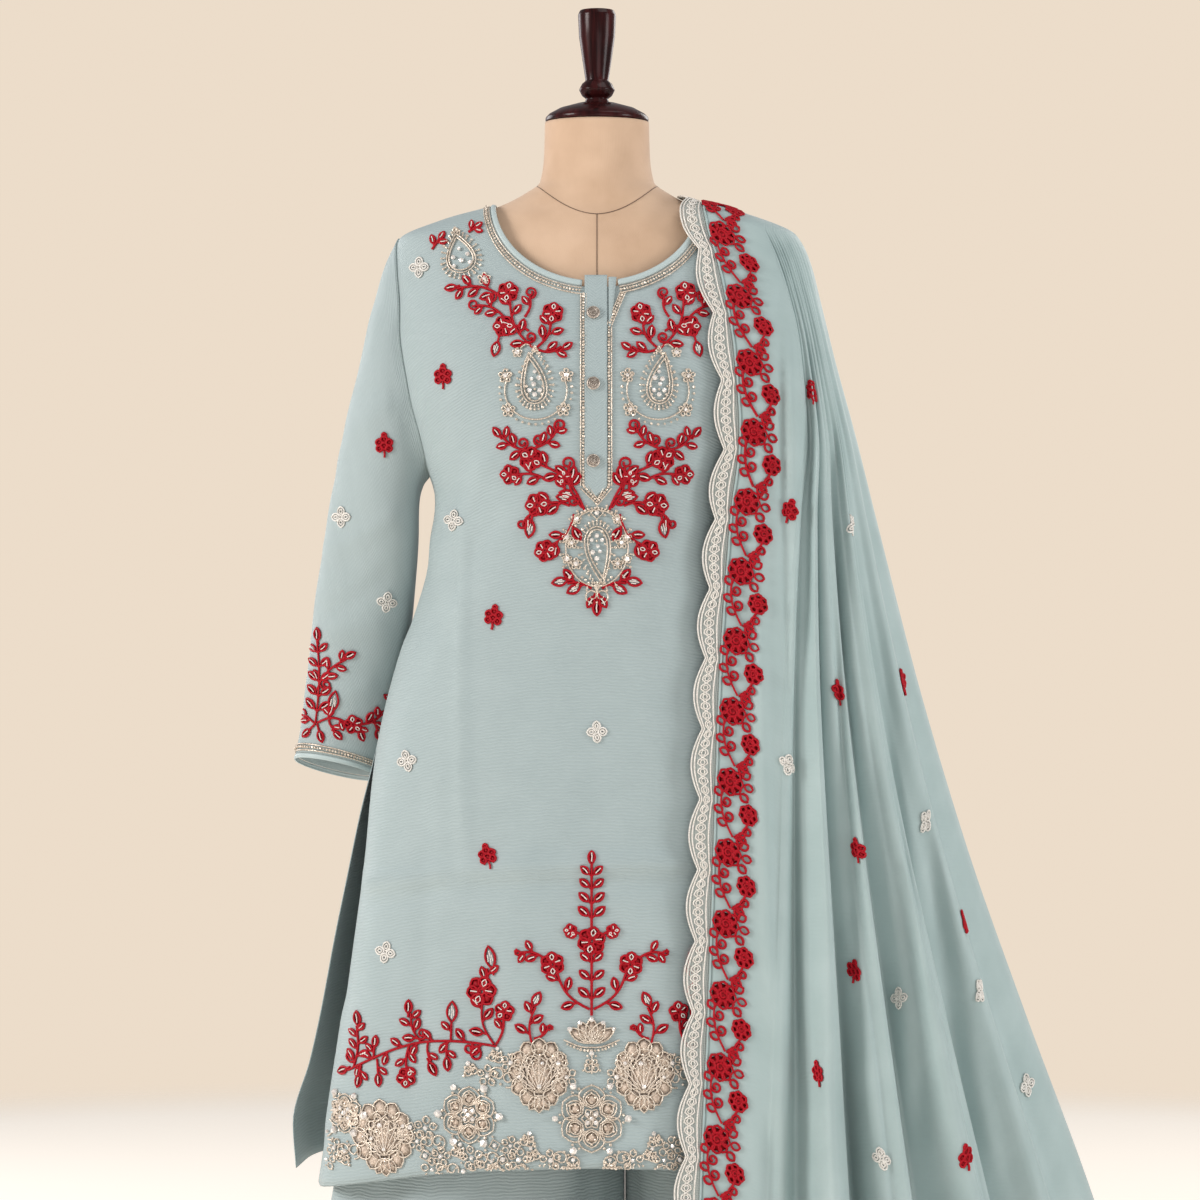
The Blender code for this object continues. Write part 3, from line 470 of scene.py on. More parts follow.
BACK_CREASES = table_of(Crease,
    (-150, 1130, -120, 760, 6, 14, 2.0), (130, 1150, 105, 700, -8, 16, 2.2), (-20, 1120, -40, 640, 6, 18, 1.8),
    (50, 1010, 70, 560, -4, 15, -2.2), (-90, 900, -110, 480, 5, 16, -2.4), (-210, 860, -236, 500, 6, 18, 3.0),
    (200, 840, 236, 490, -6, 18, 2.8), (-170, 1090, -60, 1040, 8, 12, 1.6), (60, 1060, 160, 1105, -6, 12, 1.5),
    (-200, 770, 190, 758, 5, 5, 1.4))


def fold_depth(turn, height):
    """Soft folds of the skirt, deeper towards the hem and none on the centre line."""
    fall = np.maximum(0.0, (HEM_FOLD_TOP - height) / (HEM_FOLD_TOP - KURTA_FRONT[0].height))
    return HEM_FOLD_DEPTH * fall**1.4 * np.cos(np.radians(HEM_FOLDS * (turn - HEM_FOLD_TURN)))


def panel_point(table, turn, height, sign=-1):
    """A point on the kurta. Sign -1 is the front and +1 the back; turn runs from the centre to the side."""
    ring = row_at(table, height)
    across, deep = arc(turn / 90)
    fold = fold_depth(turn, height)
    x = (ring.half_width + fold * across) * across
    return stack(x, sign * (ring.side + (ring.depth - ring.side + fold) * deep), height)


def creased(points, turn, side, sign, creases):
    """A half panel's points on one side of the centre line, moved out by the creases there."""
    points = points * (side, 1, 1)
    depth = crease_depth(points[..., 0], points[..., 2], creases) + ripple(points[..., 0], points[..., 2])
    out = stack(side * np.sin(np.radians(turn)), sign * np.cos(np.radians(turn)), 0)
    return points + out * depth[..., None]


def ridge(x):
    """Height of the kurta's shoulder line at x."""
    heights = np.linspace(SHOULDER_TIP, KURTA_FRONT[-1].height, 300)
    return np.interp(-x, -row_at(KURTA_FRONT, heights).half_width, heights)


def neck_edge(t, half, drop):
    """Place on the neckline as x and height; t is 0 at the bottom and 1 at the shoulder."""
    angle = np.radians(90) * t
    return half * np.sin(angle), ridge(half) - drop * np.cos(angle)


def turn_at(table, x, height):
    return 90 * arc_at(x / row_at(table, height).half_width)


def armhole_place(table, t):
    """Turn and height on the armhole; t is 0 at the armpit and 1 at the shoulder tip."""
    height = ARMPIT + (SHOULDER_TIP - ARMPIT) * (0.35 * t + 0.65 * ease(t))
    return row_at(table, height).turn, height


def panel_grid(cut, columns=44):
    """Turn and height over half a panel, from hem to shoulder seam and from the centre to the side."""
    hem = cut.table[0].height
    inner, outer = [], []
    for height in np.linspace(hem, ARMPIT, 81):
        inner.append((0, height))
        outer.append((90, height))
    neck_bottom = neck_edge(0, NECK_HALF, cut.neck_drop)[1]
    for step in np.linspace(0, CHEST_ROWS + NECK_ROWS, 85)[1:]:
        x, height = 0, ARMPIT + (neck_bottom - ARMPIT) * step / CHEST_ROWS
        if step >= CHEST_ROWS:
            x, height = neck_edge(1 - (1 - (step - CHEST_ROWS) / NECK_ROWS) ** 2, NECK_HALF, cut.neck_drop)
        slit = cut.slit * min(1.0, step)
        inner.append((float(turn_at(cut.table, max(x, slit), height)), float(height)))
        turn, height = armhole_place(cut.armhole, step / (CHEST_ROWS + NECK_ROWS))
        outer.append((float(turn), float(height)))
    inner, outer = np.array(inner), np.array(outer)
    share = np.linspace(0, 1, columns + 1)[None, :, None]
    places = inner[:, None] + (outer - inner)[:, None] * share
    turn, height = places[..., 0], places[..., 1]
    fall = np.maximum(0.0, (ARMPIT - height) / (ARMPIT - hem))
    return turn, height + cut.hem_lift * fall * np.cos(np.radians(turn)) ** 2


def make_panel(cut, creases, material):
    turn, height = panel_grid(cut)
    half = panel_point(cut.table, turn, height, cut.sign)
    grids = [creased(half, turn, side, cut.sign, creases) for side in (1, -1)]
    maps = [threads_map(half) * (side, 1) for side in (1, -1)]
    return cloth(cut.name + "_cloth", grids, material, maps=maps)


def front_at(x, height, off):
    """Points over the front panel at x, moved out by off."""
    turn = turn_at(KURTA_FRONT, np.abs(x), height)
    depth = crease_depth(x, height, FRONT_CREASES) + ripple(x, height)
    points = panel_point(KURTA_FRONT, turn, height)
    return stack(x, points[..., 1] - depth - off, height)


def neck_strip_point(t, inset, cut):
    """Points beyond the neckline's edge; t is 0 at the bottom and 1 at the shoulder."""
    x, height = neck_edge(t, NECK_HALF - inset, cut.neck_drop - inset)
    return panel_point(cut.table, turn_at(cut.table, x, height), height, cut.sign)


def neck_line(inset, steps=60):
    """The line round the neck at one inset, from the placket's right side to its left."""
    starts = (BINDING_START_LEFT, BINDING_START_RIGHT)
    first = [1 - (1 - start / NECK_ROWS) ** 2 for start in starts]
    front_left = neck_strip_point(np.linspace(first[0], 1, steps), inset, FRONT)
    front_right = neck_strip_point(np.linspace(first[1], 1, steps), inset, FRONT) * (-1, 1, 1)
    behind = neck_strip_point(np.linspace(1, 0, steps), inset, BACK)
    other = behind[::-1] * (-1, 1, 1)
    return np.concatenate((front_left, behind[1:], other[1:], front_right[::-1][1:]))


def make_binding(material):
    """The rolled bias strip round the neck."""
    insets = np.linspace(BINDING_GAP, BINDING_WIDTH, 7)
    lines = np.stack([neck_line(inset) for inset in insets])
    crown = np.sin(np.radians(180) * (insets - BINDING_GAP) / (BINDING_WIDTH - BINDING_GAP))
    out = np.gradient(lines, axis=1)
    out = np.cross(out, np.gradient(lines, axis=0))
    out /= np.linalg.norm(out, axis=2, keepdims=True)
    out *= np.where(out[..., 2:] + 0.2 * np.abs(out[..., 1:2]) > 0, 1, -1)
    return cloth("neck_piping", [lines + out * crown[:, None, None] * 1.3], material, 1.2)


def make_placket(material):
    off = CLOTH + SEAT + PLACKET_EASE
    across = np.linspace(0, 1, 13)[None, :]
    share = np.linspace(0, 1, 80)[:, None]
    x = PLACKET_LEFT + (PLACKET_RIGHT - PLACKET_LEFT) * across + 0.0 * share
    foot = PLACKET_BOTTOM + PLACKET_POINT * np.abs(2 * across - 1)
    height = foot + (PLACKET_TOP - foot) * share
    tucks = sum(0.7 * np.exp(-(((height - level - lean * x) / 3.5) ** 2))
                for level, lean in ((1298, 0.3), (1168, -0.4)))
    edge = 0.5 * (np.abs(2 * across - 1) ** 6)
    band = cloth("placket_cloth", [front_at(x, height, off + tucks * (1 - edge) + edge)], material)
    share = np.linspace(0, 1, 24)[:, None]
    height = FLAP_BOTTOM + (FLAP_TOP - FLAP_BOTTOM) * share
    wide = FLAP_POINT + (FLAP_RIGHT - FLAP_LEFT - FLAP_POINT) * share
    across = np.linspace(0, 1, 7)[None, :]
    roll = 1.6 * np.sin(np.radians(180) * across) * share
    flap = cloth("placket_fold", [front_at(FLAP_LEFT + wide * across, height, off + roll)], material)
    return band, flap


# ---- Sleeves ----

SLEEVE_CREASES = table_of(Crease,
    (215, 1330, 262, 1180, 6, 12, 1.8), (196, 1230, 275, 1150, -6, 10, 2.2), (192, 1120, 282, 1075, 7, 9, 2.4),
    (200, 1060, 280, 1010, 5, 8, -2.0), (205, 1000, 292, 985, -5, 8, 2.2), (215, 945, 300, 925, 4, 9, 1.8),
    (236, 1290, 250, 1000, -7, 14, -1.8))


def outward(surface, p, q, step=0.01):
    """Unit normal of surface(p, q), found from its neighbours; the surface says which side is out."""
    across = surface(p + step, q) - surface(p - step, q)
    along = surface(p, q + 100 * step) - surface(p, q - 100 * step)
    out = np.cross(across, along)
    return out / np.linalg.norm(out, axis=-1, keepdims=True)


def armhole_loop(around):
    """Points just off the armhole's edge; 0 is the shoulder tip, a quarter the front, a half the armpit."""
    loops = []
    for cut, t in ((FRONT, 1 - 2 * around), (BACK, 2 * around - 1)):
        turn, height = armhole_place(cut.armhole, np.clip(t, 0, 1))

        def surface(p, q, cut=cut):
            return panel_point(cut.table, p, q, cut.sign)

        out = outward(surface, np.minimum(turn, 88), np.minimum(height, SHOULDER_TIP - 2))
        loops.append(surface(turn, height) - cut.sign * out * SLEEVE_GAP)
    return np.where((around <= 0.5)[..., None], *loops)


def sleeve_oval(along, around, tuck):
    """Points of the sleeve's plain oval sections."""
    row = row_at(SLEEVE, along)
    outer = stack(row.outer_x - tuck * ease(along / TUCK_LENGTH), row.back, row.outer_z)
    inner = stack(row.inner_x, row.back, row.inner_z)
    sine, cosine = np.sin(math.tau * around)[..., None], np.cos(math.tau * around)[..., None]
    deep = stack(0, -row.depth, CUFF_DROP * along / 100)
    return (outer + inner) / 2 + (outer - inner) / 2 * cosine + deep * sine


def sleeve_point(along, around, tuck):
    start = armhole_loop(around) - sleeve_oval(np.zeros_like(around), around, 0)
    oval = sleeve_oval(along, around, tuck)
    points = oval + start * (1 - np.minimum(1.0, along / SLEEVE_BLEND))[..., None] ** 2
    depth = crease_depth(points[..., 0], points[..., 2], SLEEVE_CREASES)
    depth = (depth + 2.5 * ripple(points[..., 2], points[..., 0] * 2 + 40 * around)) * ease(along / 18)
    out = stack(np.cos(math.tau * around), -np.sin(math.tau * around), 0)
    return points + out * depth[..., None] * ease((100 - along) / 6 + 0.25)[..., None]


def make_sleeve(name, side, tuck, material, trim):
    """A sleeve and the piping on its cuff; side is -1 for the wearer's right."""
    around = np.linspace(0, 1, 73)[None, :]
    along = 100 * np.linspace(0, 1, 91)[:, None] ** SLEEVE_SPACING
    along, around = np.broadcast_arrays(along, around)
    points = sleeve_point(along, around, tuck) * (side, 1, 1)
    sleeve = cloth(f"sleeve_{name}_cloth", [points], material, closed=True)
    fall = points[-1, 0] - points[-4, 0]
    fall /= np.linalg.norm(fall)
    drops = np.linspace(CUFF_EDGES[0], CUFF_EDGES[-1], 6)
    middle = points[-1].mean(axis=0)
    crown = np.sin(np.radians(180) * np.linspace(0, 1, 6))
    rows = []
    for drop, high in zip(drops, crown):
        out = points[-1] - middle
        out /= np.linalg.norm(out, axis=-1, keepdims=True)
        rows.append(points[-1] + fall * drop + out * high * 0.7)
    cuff = cloth(f"cuff_{name}_piping", [np.stack(rows)], trim, 1.2, closed=True)
    return sleeve, cuff


# ---- Trousers ----


def leg_point(height, around, side, split):
    """Points of a trouser leg; around runs from the inner front round the outer side to the inner back."""
    hip, leg = row_at(HIPS, height), row_at(LEGS, height)
    turn = math.pi * around
    depth = np.where(around < 0.5, hip.front, hip.back)
    seat = stack(side * (SEAT_GAP + hip.half_width * np.sin(turn)), -depth * np.cos(turn), height)
    middle, half = (split + side * leg.outer) / 2, np.abs(side * leg.outer - split) / 2
    turn = math.tau * around
    depth = np.where(around < 0.5, leg.front, leg.back)
    fall = ease((FORK_TOP - height) / (FORK_TOP - LEGS[0].height))
    fold = LEG_FOLD_DEPTH * fall * np.cos(LEG_FOLDS * turn + 0.6 * side)
    fold = fold + 3.5 * fall * np.sin(17 * turn + height / 90) + 2 * ripple(60 * turn, height)
    fold *= ease(12 * np.minimum(around, 1 - around)) * ease((1000 - height) / 90)
    tube = stack(middle - side * (half + 0.6 * fold) * np.cos(turn), -(depth + fold) * np.sin(turn), height)
    return seat + (tube - seat) * ease((FORK_TOP - height) / (FORK_TOP - FORK))[..., None]


def make_leg(name, side, split, material):
    height = np.linspace(LEGS[0].height, HIPS[-1].height, 97)[:, None]
    around = np.linspace(0, 1, 113)[None, :]
    height, around = np.broadcast_arrays(height, around)
    return cloth(f"trouser_{name}_cloth", [leg_point(height, around, side, split)], material)


# ---- Dress form ----


def form_point(height, turn, off=0.0):
    """Points of the form; turn 0 is the centre front and 90 is the wearer's left."""
    ring = row_at(FORM_RINGS, height)
    sine, cosine = np.sin(np.radians(turn)), np.cos(np.radians(turn))
    depth = np.where(cosine > 0, ring.front, ring.back)
    return stack((ring.half_width + off) * sine, -(depth + off) * cosine, height)


def closed_grid(name, rows, material):
    """A closed solid through rings of points, with a flat cap at each end."""
    mesh = bpy.data.meshes.new(name)
    shape = bmesh.new()
    rings = [[shape.verts.new(point * MM) for point in row] for row in rows]
    for low, high in zip(rings, rings[1:]):
        for i in range(len(low)):
            j = (i + 1) % len(low)
            shape.faces.new((low[i], low[j], high[j], high[i]))
    shape.faces.new(list(reversed(rings[0])))
    shape.faces.new(rings[-1])
    bmesh.ops.remove_doubles(shape, verts=shape.verts, dist=0.00002)
    bmesh.ops.recalc_face_normals(shape, faces=shape.faces)
    shape.to_mesh(mesh)
    shape.free()
    for face in mesh.polygons:
        face.use_smooth = abs(face.normal.z) < 0.98 or len(face.vertices) < 5
    return new_object(name, mesh, material)


def make_form(material):
    heights = np.concatenate((np.linspace(840, 1330, 50), np.linspace(1334, 1446, 57), np.linspace(1448, 1504, 24)))
    turn = np.arange(0, 360, 3.75)[None, :]
    return closed_grid("form_jersey", form_point(heights[:, None] + 0 * turn, turn + 0 * heights[:, None]), material)


def turned(name, profile, material, sides=64, round_by=1.2):
    """A turned solid from a table of radii and heights, with its corners rounded."""
    mesh = bpy.data.meshes.new(name)
    shape = bmesh.new()
    corners = [shape.verts.new((turn.radius * MM, 0, turn.height * MM)) for turn in profile]
    edges = [shape.edges.new(pair) for pair in zip(corners, corners[1:])]
    bmesh.ops.spin(shape, geom=corners + edges, cent=(0, 0, 0), axis=(0, 0, 1), angle=math.tau, steps=sides,
                   use_duplicate=False)
    bmesh.ops.remove_doubles(shape, verts=shape.verts, dist=0.00002)
    bmesh.ops.dissolve_degenerate(shape, edges=shape.edges, dist=0.00001)
    bmesh.ops.recalc_face_normals(shape, faces=shape.faces)
    shape.to_mesh(mesh)
    shape.free()
    mesh.shade_smooth()
    obj = new_object(name, mesh, material)
    bevel = obj.modifiers.new("Rounded corners", "BEVEL")
    bevel.width = round_by * MM
    bevel.segments = 3
    bevel.limit_method = "ANGLE"
    bevel.angle_limit = math.radians(25)
    return obj


# ---- Dupatta ----

FALL_CREASES = table_of(Crease,
    (158, 1330, 172, 560, 8, 8, 5.8), (176, 1340, 190, 520, -4, 6, -6.5), (190, 1360, 204, 500, 7, 8, 6.5),
    (206, 1330, 222, 560, 5, 6, -5.8), (218, 1330, 232, 600, 8, 7, 5.8), (236, 1300, 254, 620, 10, 7, -10.2),
    (250, 1260, 276, 600, 10, 9, 5.2), (290, 1080, 346, 460, 10, 12, 6.5), (272, 1010, 312, 430, -8, 8, -7.2),
    (312, 980, 372, 440, 8, 9, -7.2), (330, 900, 396, 440, 8, 9, 5.8), (150, 1260, 138, 1090, 6, 14, 1.8),
    (140, 1010, 128, 700, -5, 12, 1.8), (204, 1400, 170, 1250, 6, 9, 3.5), (120, 1372, 196, 1352, -6, 4, 1.4),
    (118, 1330, 190, 1312, 5, 4, 1.4), (300, 700, 320, 300, 8, 12, 7.2), (228, 620, 244, 200, -6, 10, -8),
    (210, 600, 226, 200, -4, 12, 6.5), (170, 560, 182, 170, 5, 10, -7.2), (256, 640, 280, 240, 6, 11, 5.8),
    (344, 640, 380, 360, 6, 10, -6.5))


def top_line(fall, border, place):
    """Where each column of the dupatta lies on the shoulder, as its x and height."""
    top, tip = fall.table[-1].outer, row_at(fall.table, DUPATTA_TIP).outer
    x = top + (tip - top) * (BORDER_SHARE * border + (1 - BORDER_SHARE) * place)
    heights = np.linspace(DUPATTA_TIP, DUPATTA_TOP, 300)
    return x, np.interp(-x, -row_at(fall.table, heights).outer, heights)


def drape_point(fall, border, count, place, down):
    """Points of the dupatta; down is 0 on the shoulder line and 1 at the hem."""
    table, panel = fall.table, fall.panel
    tip = row_at(table, DUPATTA_TIP)
    ridge_x, top = top_line(fall, border, place)
    wide = tip.outer + BORDER
    hem = row_at(fall.hems, 100 * (BORDER * border + (wide - BORDER) * place) / wide).height
    height = top + (hem - top) * down
    row = row_at(table, height)
    upper = row_at(table, np.maximum(height, DUPATTA_TIP))
    across = np.clip((ridge_x - upper.edge) / np.maximum(1e-6, upper.outer - upper.edge), 0, 1)
    lower = (BORDER * border + (row.outer - row.edge - BORDER) * place) / (row.outer - row.edge)
    across = across + (lower - across) * ease((DUPATTA_TIP - height) / DUPATTA_SPREAD)
    # The edge hangs straight down from the kurta's fullest place beneath the lace.
    ring = row_at(panel, np.clip(height, panel[0].height, DUPATTA_TIP))
    under = arc(arc_at((row.edge - LACE_WIDTH - SCALLOP_DEPTH) / ring.half_width))[1]
    edge_depth = ring.side + (ring.depth - ring.side) * under + row.clear
    edge_depth = edge_depth * arc(arc_at((height - DUPATTA_TIP) / (DUPATTA_TOP - DUPATTA_TIP)))[1]
    valley = np.abs(np.sin(math.pi * count + FOLD_LEAN / 2 * np.sin(math.tau * count))) ** 5
    pleat = np.abs(np.sin(3 * math.pi * count + 0.9 * np.sin(2.3 * count))) ** 3
    wave = 1 - 1.8 * valley
    fold = row.fold * row_at(fall.crests, count).rise * wave * border * (1 - 0.5 * ease(2 * across - 1))
    pleat = pleat * (0.75 + 0.25 * np.sin(5.1 * count)) * ease(8 * (1 - across))
    fold = fold - border * (PLEAT_DEPTH + PLEAT_SHARE * row.fold) * pleat
    fold = fold * np.where(count < 0.5, ease(2 * count), 1) * ease((top - height) / 40)
    deep = arc(arc_at(across))[1]
    x = row.edge + (row.outer - row.edge) * across + 0.8 * fold * across
    creases = crease_depth(x, height, FALL_CREASES) + 1.4 * ripple(x * 1.3, height * 0.8)
    creases = creases * ease((top - height) / 60) * ease(border * 1.2) * (1 - across**3)
    return stack(x, fall.sign * ((edge_depth + fold) * deep + creases), height)


def drape_columns(crests, border_steps=18, fold_steps=26):
    """Each column's share of the border, its fold count, and its place past the border."""
    border = np.linspace(0, 1, border_steps + 1)
    count = np.linspace(0, crests[-1].count, fold_steps * crests[-1].count + 1)
    place = row_at(crests, count).across * np.where(count < 0.5, ease(2 * count), 1)
    flat = np.zeros(border_steps)
    return np.concatenate((border[:-1], 1 + 0 * count)), np.concatenate((flat, count)), np.concatenate((flat, place))


def fall_grid(fall, rows=170):
    """The points of one fall of the dupatta, from the shoulder down to the hem."""
    columns = [values[None, :] for values in drape_columns(fall.crests)]
    down = np.linspace(0, 1, rows + 1)[:, None] ** 1.25
    return drape_point(fall, *columns, down)


def lace_edge(falls):
    """The dupatta's inner edge from the front hem over the shoulder to the back hem, in even steps."""
    front, back = (points[:, 0] for points in falls)
    line = np.concatenate((front[::-1], back[1:]))
    along = np.concatenate(([0], np.cumsum(np.linalg.norm(np.diff(line, axis=0), axis=1))))
    even = np.arange(0, along[-1], LACE_STEP)
    return stack(*(np.interp(even, along, line[:, axis]) for axis in range(3))), even


def lace_points(line, even, out):
    """Points of the lace beside the cloth's edge; out is 0 at the cloth and 1 at the tips of the scallops."""
    wide = LACE_WIDTH - SCALLOP_DEPTH * (1 - 2 * np.abs(np.sin(math.pi * even / SCALLOP)))
    rise = LACE_RISE * ease(1 - (DUPATTA_TOP - line[:, 2]) / LACE_RISE_LENGTH)
    offset = LACE_GAP + (wide - LACE_GAP) * out
    return line + stack(-offset, 0, rise * out)


# ---- Materials ----


def new_group(name, inputs, outputs, kind="ShaderNodeTree"):
    """An empty group of nodes with its named inputs and outputs."""
    group = bpy.data.node_groups.new(name, kind)
    for label, socket_kind, value in inputs:
        socket = group.interface.new_socket(label, in_out="INPUT", socket_type=f"NodeSocket{socket_kind}")
        if value is not None:
            socket.default_value = value
    for label, socket_kind in outputs:
        group.interface.new_socket(label, in_out="OUTPUT", socket_type=f"NodeSocket{socket_kind}")
    return group, group.nodes.new("NodeGroupInput"), group.nodes.new("NodeGroupOutput")


def join(tree, source, target):
    tree.links.new(source, target)


def node(tree, kind, links=(), **values):
    """A node with its settings, and its sockets set or linked by name or number."""
    made = tree.nodes.new(kind if "Node" in kind else f"ShaderNode{kind}")
    for name, value in values.items():
        setattr(made, name, value)
    for socket, value in dict(links).items():
        target = made.inputs[socket]
        if hasattr(value, "is_output"):
            tree.links.new(value, target)
        else:
            target.default_value = value
    return made


def build_crinkle():
    """Crepe: fine wavy ridges across the cloth over a finer pebble, and a Shade mask that is painted shade in the
    ridges' troughs mixed with cloudy tone.
    """
    group, given, result = new_group(
        "Crepe crinkle",
        [("Vector", "Vector", None), ("Ridge spacing", "Float", 0.006), ("Pebble spacing", "Float", 0.0012)],
        [("Height", "Float"), ("Shade", "Float")])
    ridges = node(group, "Math", {0: 0.314, 1: given.outputs["Ridge spacing"]}, operation="DIVIDE")
    pebble = node(group, "Math", {0: 1.0, 1: given.outputs["Pebble spacing"]}, operation="DIVIDE")
    waves = node(group, "TexWave", {"Vector": given.outputs["Vector"], "Scale": ridges.outputs[0], "Distortion": 5.0,
                                    "Detail": 2.0, "Detail Scale": 0.6}, bands_direction="Y")
    fine = node(group, "TexNoise", {"Vector": given.outputs["Vector"], "Scale": pebble.outputs[0], "Detail": 1.0})
    cloudy = node(group, "TexNoise", {"Vector": given.outputs["Vector"], "Scale": 24.0, "Detail": 3.0})
    height = node(group, "Math", {0: fine.outputs["Fac"], 1: 0.3, 2: waves.outputs["Fac"]},
                  operation="MULTIPLY_ADD")
    soft = node(group, "Math", {0: cloudy.outputs["Fac"], 1: 0.5}, operation="MULTIPLY")
    # Painted shade: this colour mask follows the ridge waves and is darker in their troughs, mixed with cloudy tone.
    shade = node(group, "Math", {0: waves.outputs["Fac"], 1: 0.3, 2: soft.outputs[0]}, operation="MULTIPLY_ADD")
    join(group, height.outputs[0], result.inputs["Height"])
    join(group, shade.outputs[0], result.inputs["Shade"])
    return group


def build_weave():
    """Plain weave: two sets of threads that cross over and under."""
    group, given, result = new_group(
        "Weave", [("Vector", "Vector", None), ("Threads", "Float", 900.0)],
        [("Height", "Float"), ("Shade", "Float")])
    parts = node(group, "SeparateXYZ", {0: given.outputs["Vector"]})
    waves = []
    for axis in (0, 1):
        turn = node(group, "Math", {0: parts.outputs[axis], 1: given.outputs["Threads"]}, operation="MULTIPLY")
        waves.append(node(group, "Math", {0: turn.outputs[0]}, operation="SINE"))
    both = node(group, "Math", {0: waves[0].outputs[0], 1: waves[1].outputs[0]}, operation="MULTIPLY")
    cloudy = node(group, "TexNoise", {"Vector": given.outputs["Vector"], "Scale": 14.0, "Detail": 4.0})
    join(group, both.outputs[0], result.inputs["Height"])
    join(group, cloudy.outputs["Fac"], result.inputs["Shade"])
    return group


def new_material(name, colour, roughness, **constants):
    """A material with its constant values, its tree and its shader."""
    made = bpy.data.materials.new(name)
    made.use_nodes = True
    shader = made.node_tree.nodes["Principled BSDF"]
    shader.inputs["Base Color"].default_value = (*colour, 1)
    shader.inputs["Roughness"].default_value = roughness
    for label, value in constants.items():
        shader.inputs[label.replace("_", " ")].default_value = value
    return made, made.node_tree, shader


def shaded(tree, shader, mask, dark, light, low=0.3, high=0.7):
    """Colours the surface between two tones by a mask."""
    ramp = node(tree, "ValToRGB", {0: mask})
    ramp.color_ramp.elements[0].position = low
    ramp.color_ramp.elements[1].position = high
    ramp.color_ramp.elements[0].color = (*dark, 1)
    ramp.color_ramp.elements[1].color = (*light, 1)
    join(tree, ramp.outputs[0], shader.inputs["Base Color"])
    return ramp


def raised(tree, shader, height, strength, distance):
    bump = node(tree, "Bump", {"Height": height, "Strength": strength, "Distance": distance})
    join(tree, bump.outputs["Normal"], shader.inputs["Normal"])
    return bump


CRINKLE = build_crinkle()
WEAVE = build_weave()


def place_group(tree, group, **values):
    made = tree.nodes.new("ShaderNodeGroup")
    made.node_tree = group
    for label, value in values.items():
        socket = made.inputs[label.replace("_", " ")]
        if hasattr(value, "is_output"):
            tree.links.new(value, socket)
        else:
            socket.default_value = value
    return made


def crepe(name, dark, light, strength=0.42, roughness=0.62, ridge=0.0032):
    """Aqua crepe with its crinkle along the threads; its colour is painted shade in the crinkle's troughs, mixed with
    cloudy tone.
    """
    made, tree, shader = new_material(name, light, roughness, Sheen_Weight=0.12, Sheen_Roughness=0.4,
                                      Specular_IOR_Level=0.35)
    threads = node(tree, "UVMap", uv_map="threads")
    crinkle = place_group(tree, CRINKLE, Vector=threads.outputs[0], Ridge_spacing=ridge)
    # Colour between the dark and light tones by the crinkle's mask: painted shade in the ridge troughs, and cloudy
    # tone.
    shaded(tree, shader, crinkle.outputs["Shade"], dark, light, -0.2, 0.8)
    raised(tree, shader, crinkle.outputs["Height"], strength, 0.0006)
    return made


def chiffon(name, dark, light):
    made, tree, shader = new_material(name, light, 0.6, Sheen_Weight=0.2, Sheen_Roughness=0.35,
                                      Specular_IOR_Level=0.35)
    threads = node(tree, "UVMap", uv_map="threads")
    weave = place_group(tree, WEAVE, Vector=threads.outputs[0], Threads=4200.0)
    crinkle = place_group(tree, CRINKLE, Vector=threads.outputs[0], Ridge_spacing=0.0042)
    shaded(tree, shader, weave.outputs["Shade"], dark, light, 0.2, 0.8)
    both = node(tree, "Math", {0: weave.outputs["Height"], 1: 0.25, 2: crinkle.outputs["Height"]},
                operation="MULTIPLY_ADD")
    raised(tree, shader, both.outputs[0], 0.14, 0.0005)
    return made


def knit(name, dark, light):
    """Beige jersey: fine vertical ribs of stitches over a soft mottle."""
    made, tree, shader = new_material(name, light, 0.85, Sheen_Weight=0.15, Sheen_Roughness=0.5)
    place = node(tree, "TexCoord")
    weave = place_group(tree, WEAVE, Vector=place.outputs["Object"], Threads=3600.0)
    shaded(tree, shader, weave.outputs["Shade"], dark, light, 0.35, 0.65)
    raised(tree, shader, weave.outputs["Height"], 0.12, 0.0003)
    return made


def wood(name, dark, light):
    made, tree, shader = new_material(name, light, 0.24, Specular_IOR_Level=0.14, Coat_Weight=0.05,
                                      Coat_Roughness=0.08)
    place = node(tree, "TexCoord")
    long = node(tree, "Mapping", {"Vector": place.outputs["Object"], "Scale": (1, 1, 0.12)})
    grain = node(tree, "TexNoise", {"Vector": long.outputs[0], "Scale": 90.0, "Detail": 6.0, "Distortion": 1.5})
    shaded(tree, shader, grain.outputs["Fac"], dark, light)
    raised(tree, shader, grain.outputs["Fac"], 0.05, 0.0005)
    return made


def metal(name, dark, light, roughness=0.38, scale=700.0, metallic=0.8):
    """Antique silver: bright on the worn places and darker between them."""
    made, tree, shader = new_material(name, light, roughness, Metallic=metallic)
    place = node(tree, "TexCoord")
    worn = node(tree, "TexNoise", {"Vector": place.outputs["Object"], "Scale": scale, "Detail": 3.0})
    shaded(tree, shader, worn.outputs["Fac"], dark, light, 0.35, 0.6)
    raised(tree, shader, worn.outputs["Fac"], 0.3, 0.0003)
    return made


def thread(name, dark, light, roughness=0.55, scale=900.0, sheen=0.2):
    """Embroidery thread: twisted strands with a soft gleam."""
    made, tree, shader = new_material(name, light, roughness, Sheen_Weight=sheen, Sheen_Roughness=0.3,
                                      Specular_IOR_Level=0.25)
    place = node(tree, "TexCoord")
    strands = node(tree, "TexNoise", {"Vector": place.outputs["Object"], "Scale": scale, "Detail": 2.0})
    shaded(tree, shader, strands.outputs["Fac"], dark, light, 0.35, 0.62)
    raised(tree, shader, strands.outputs["Fac"], 0.5, 0.0006)
    return made


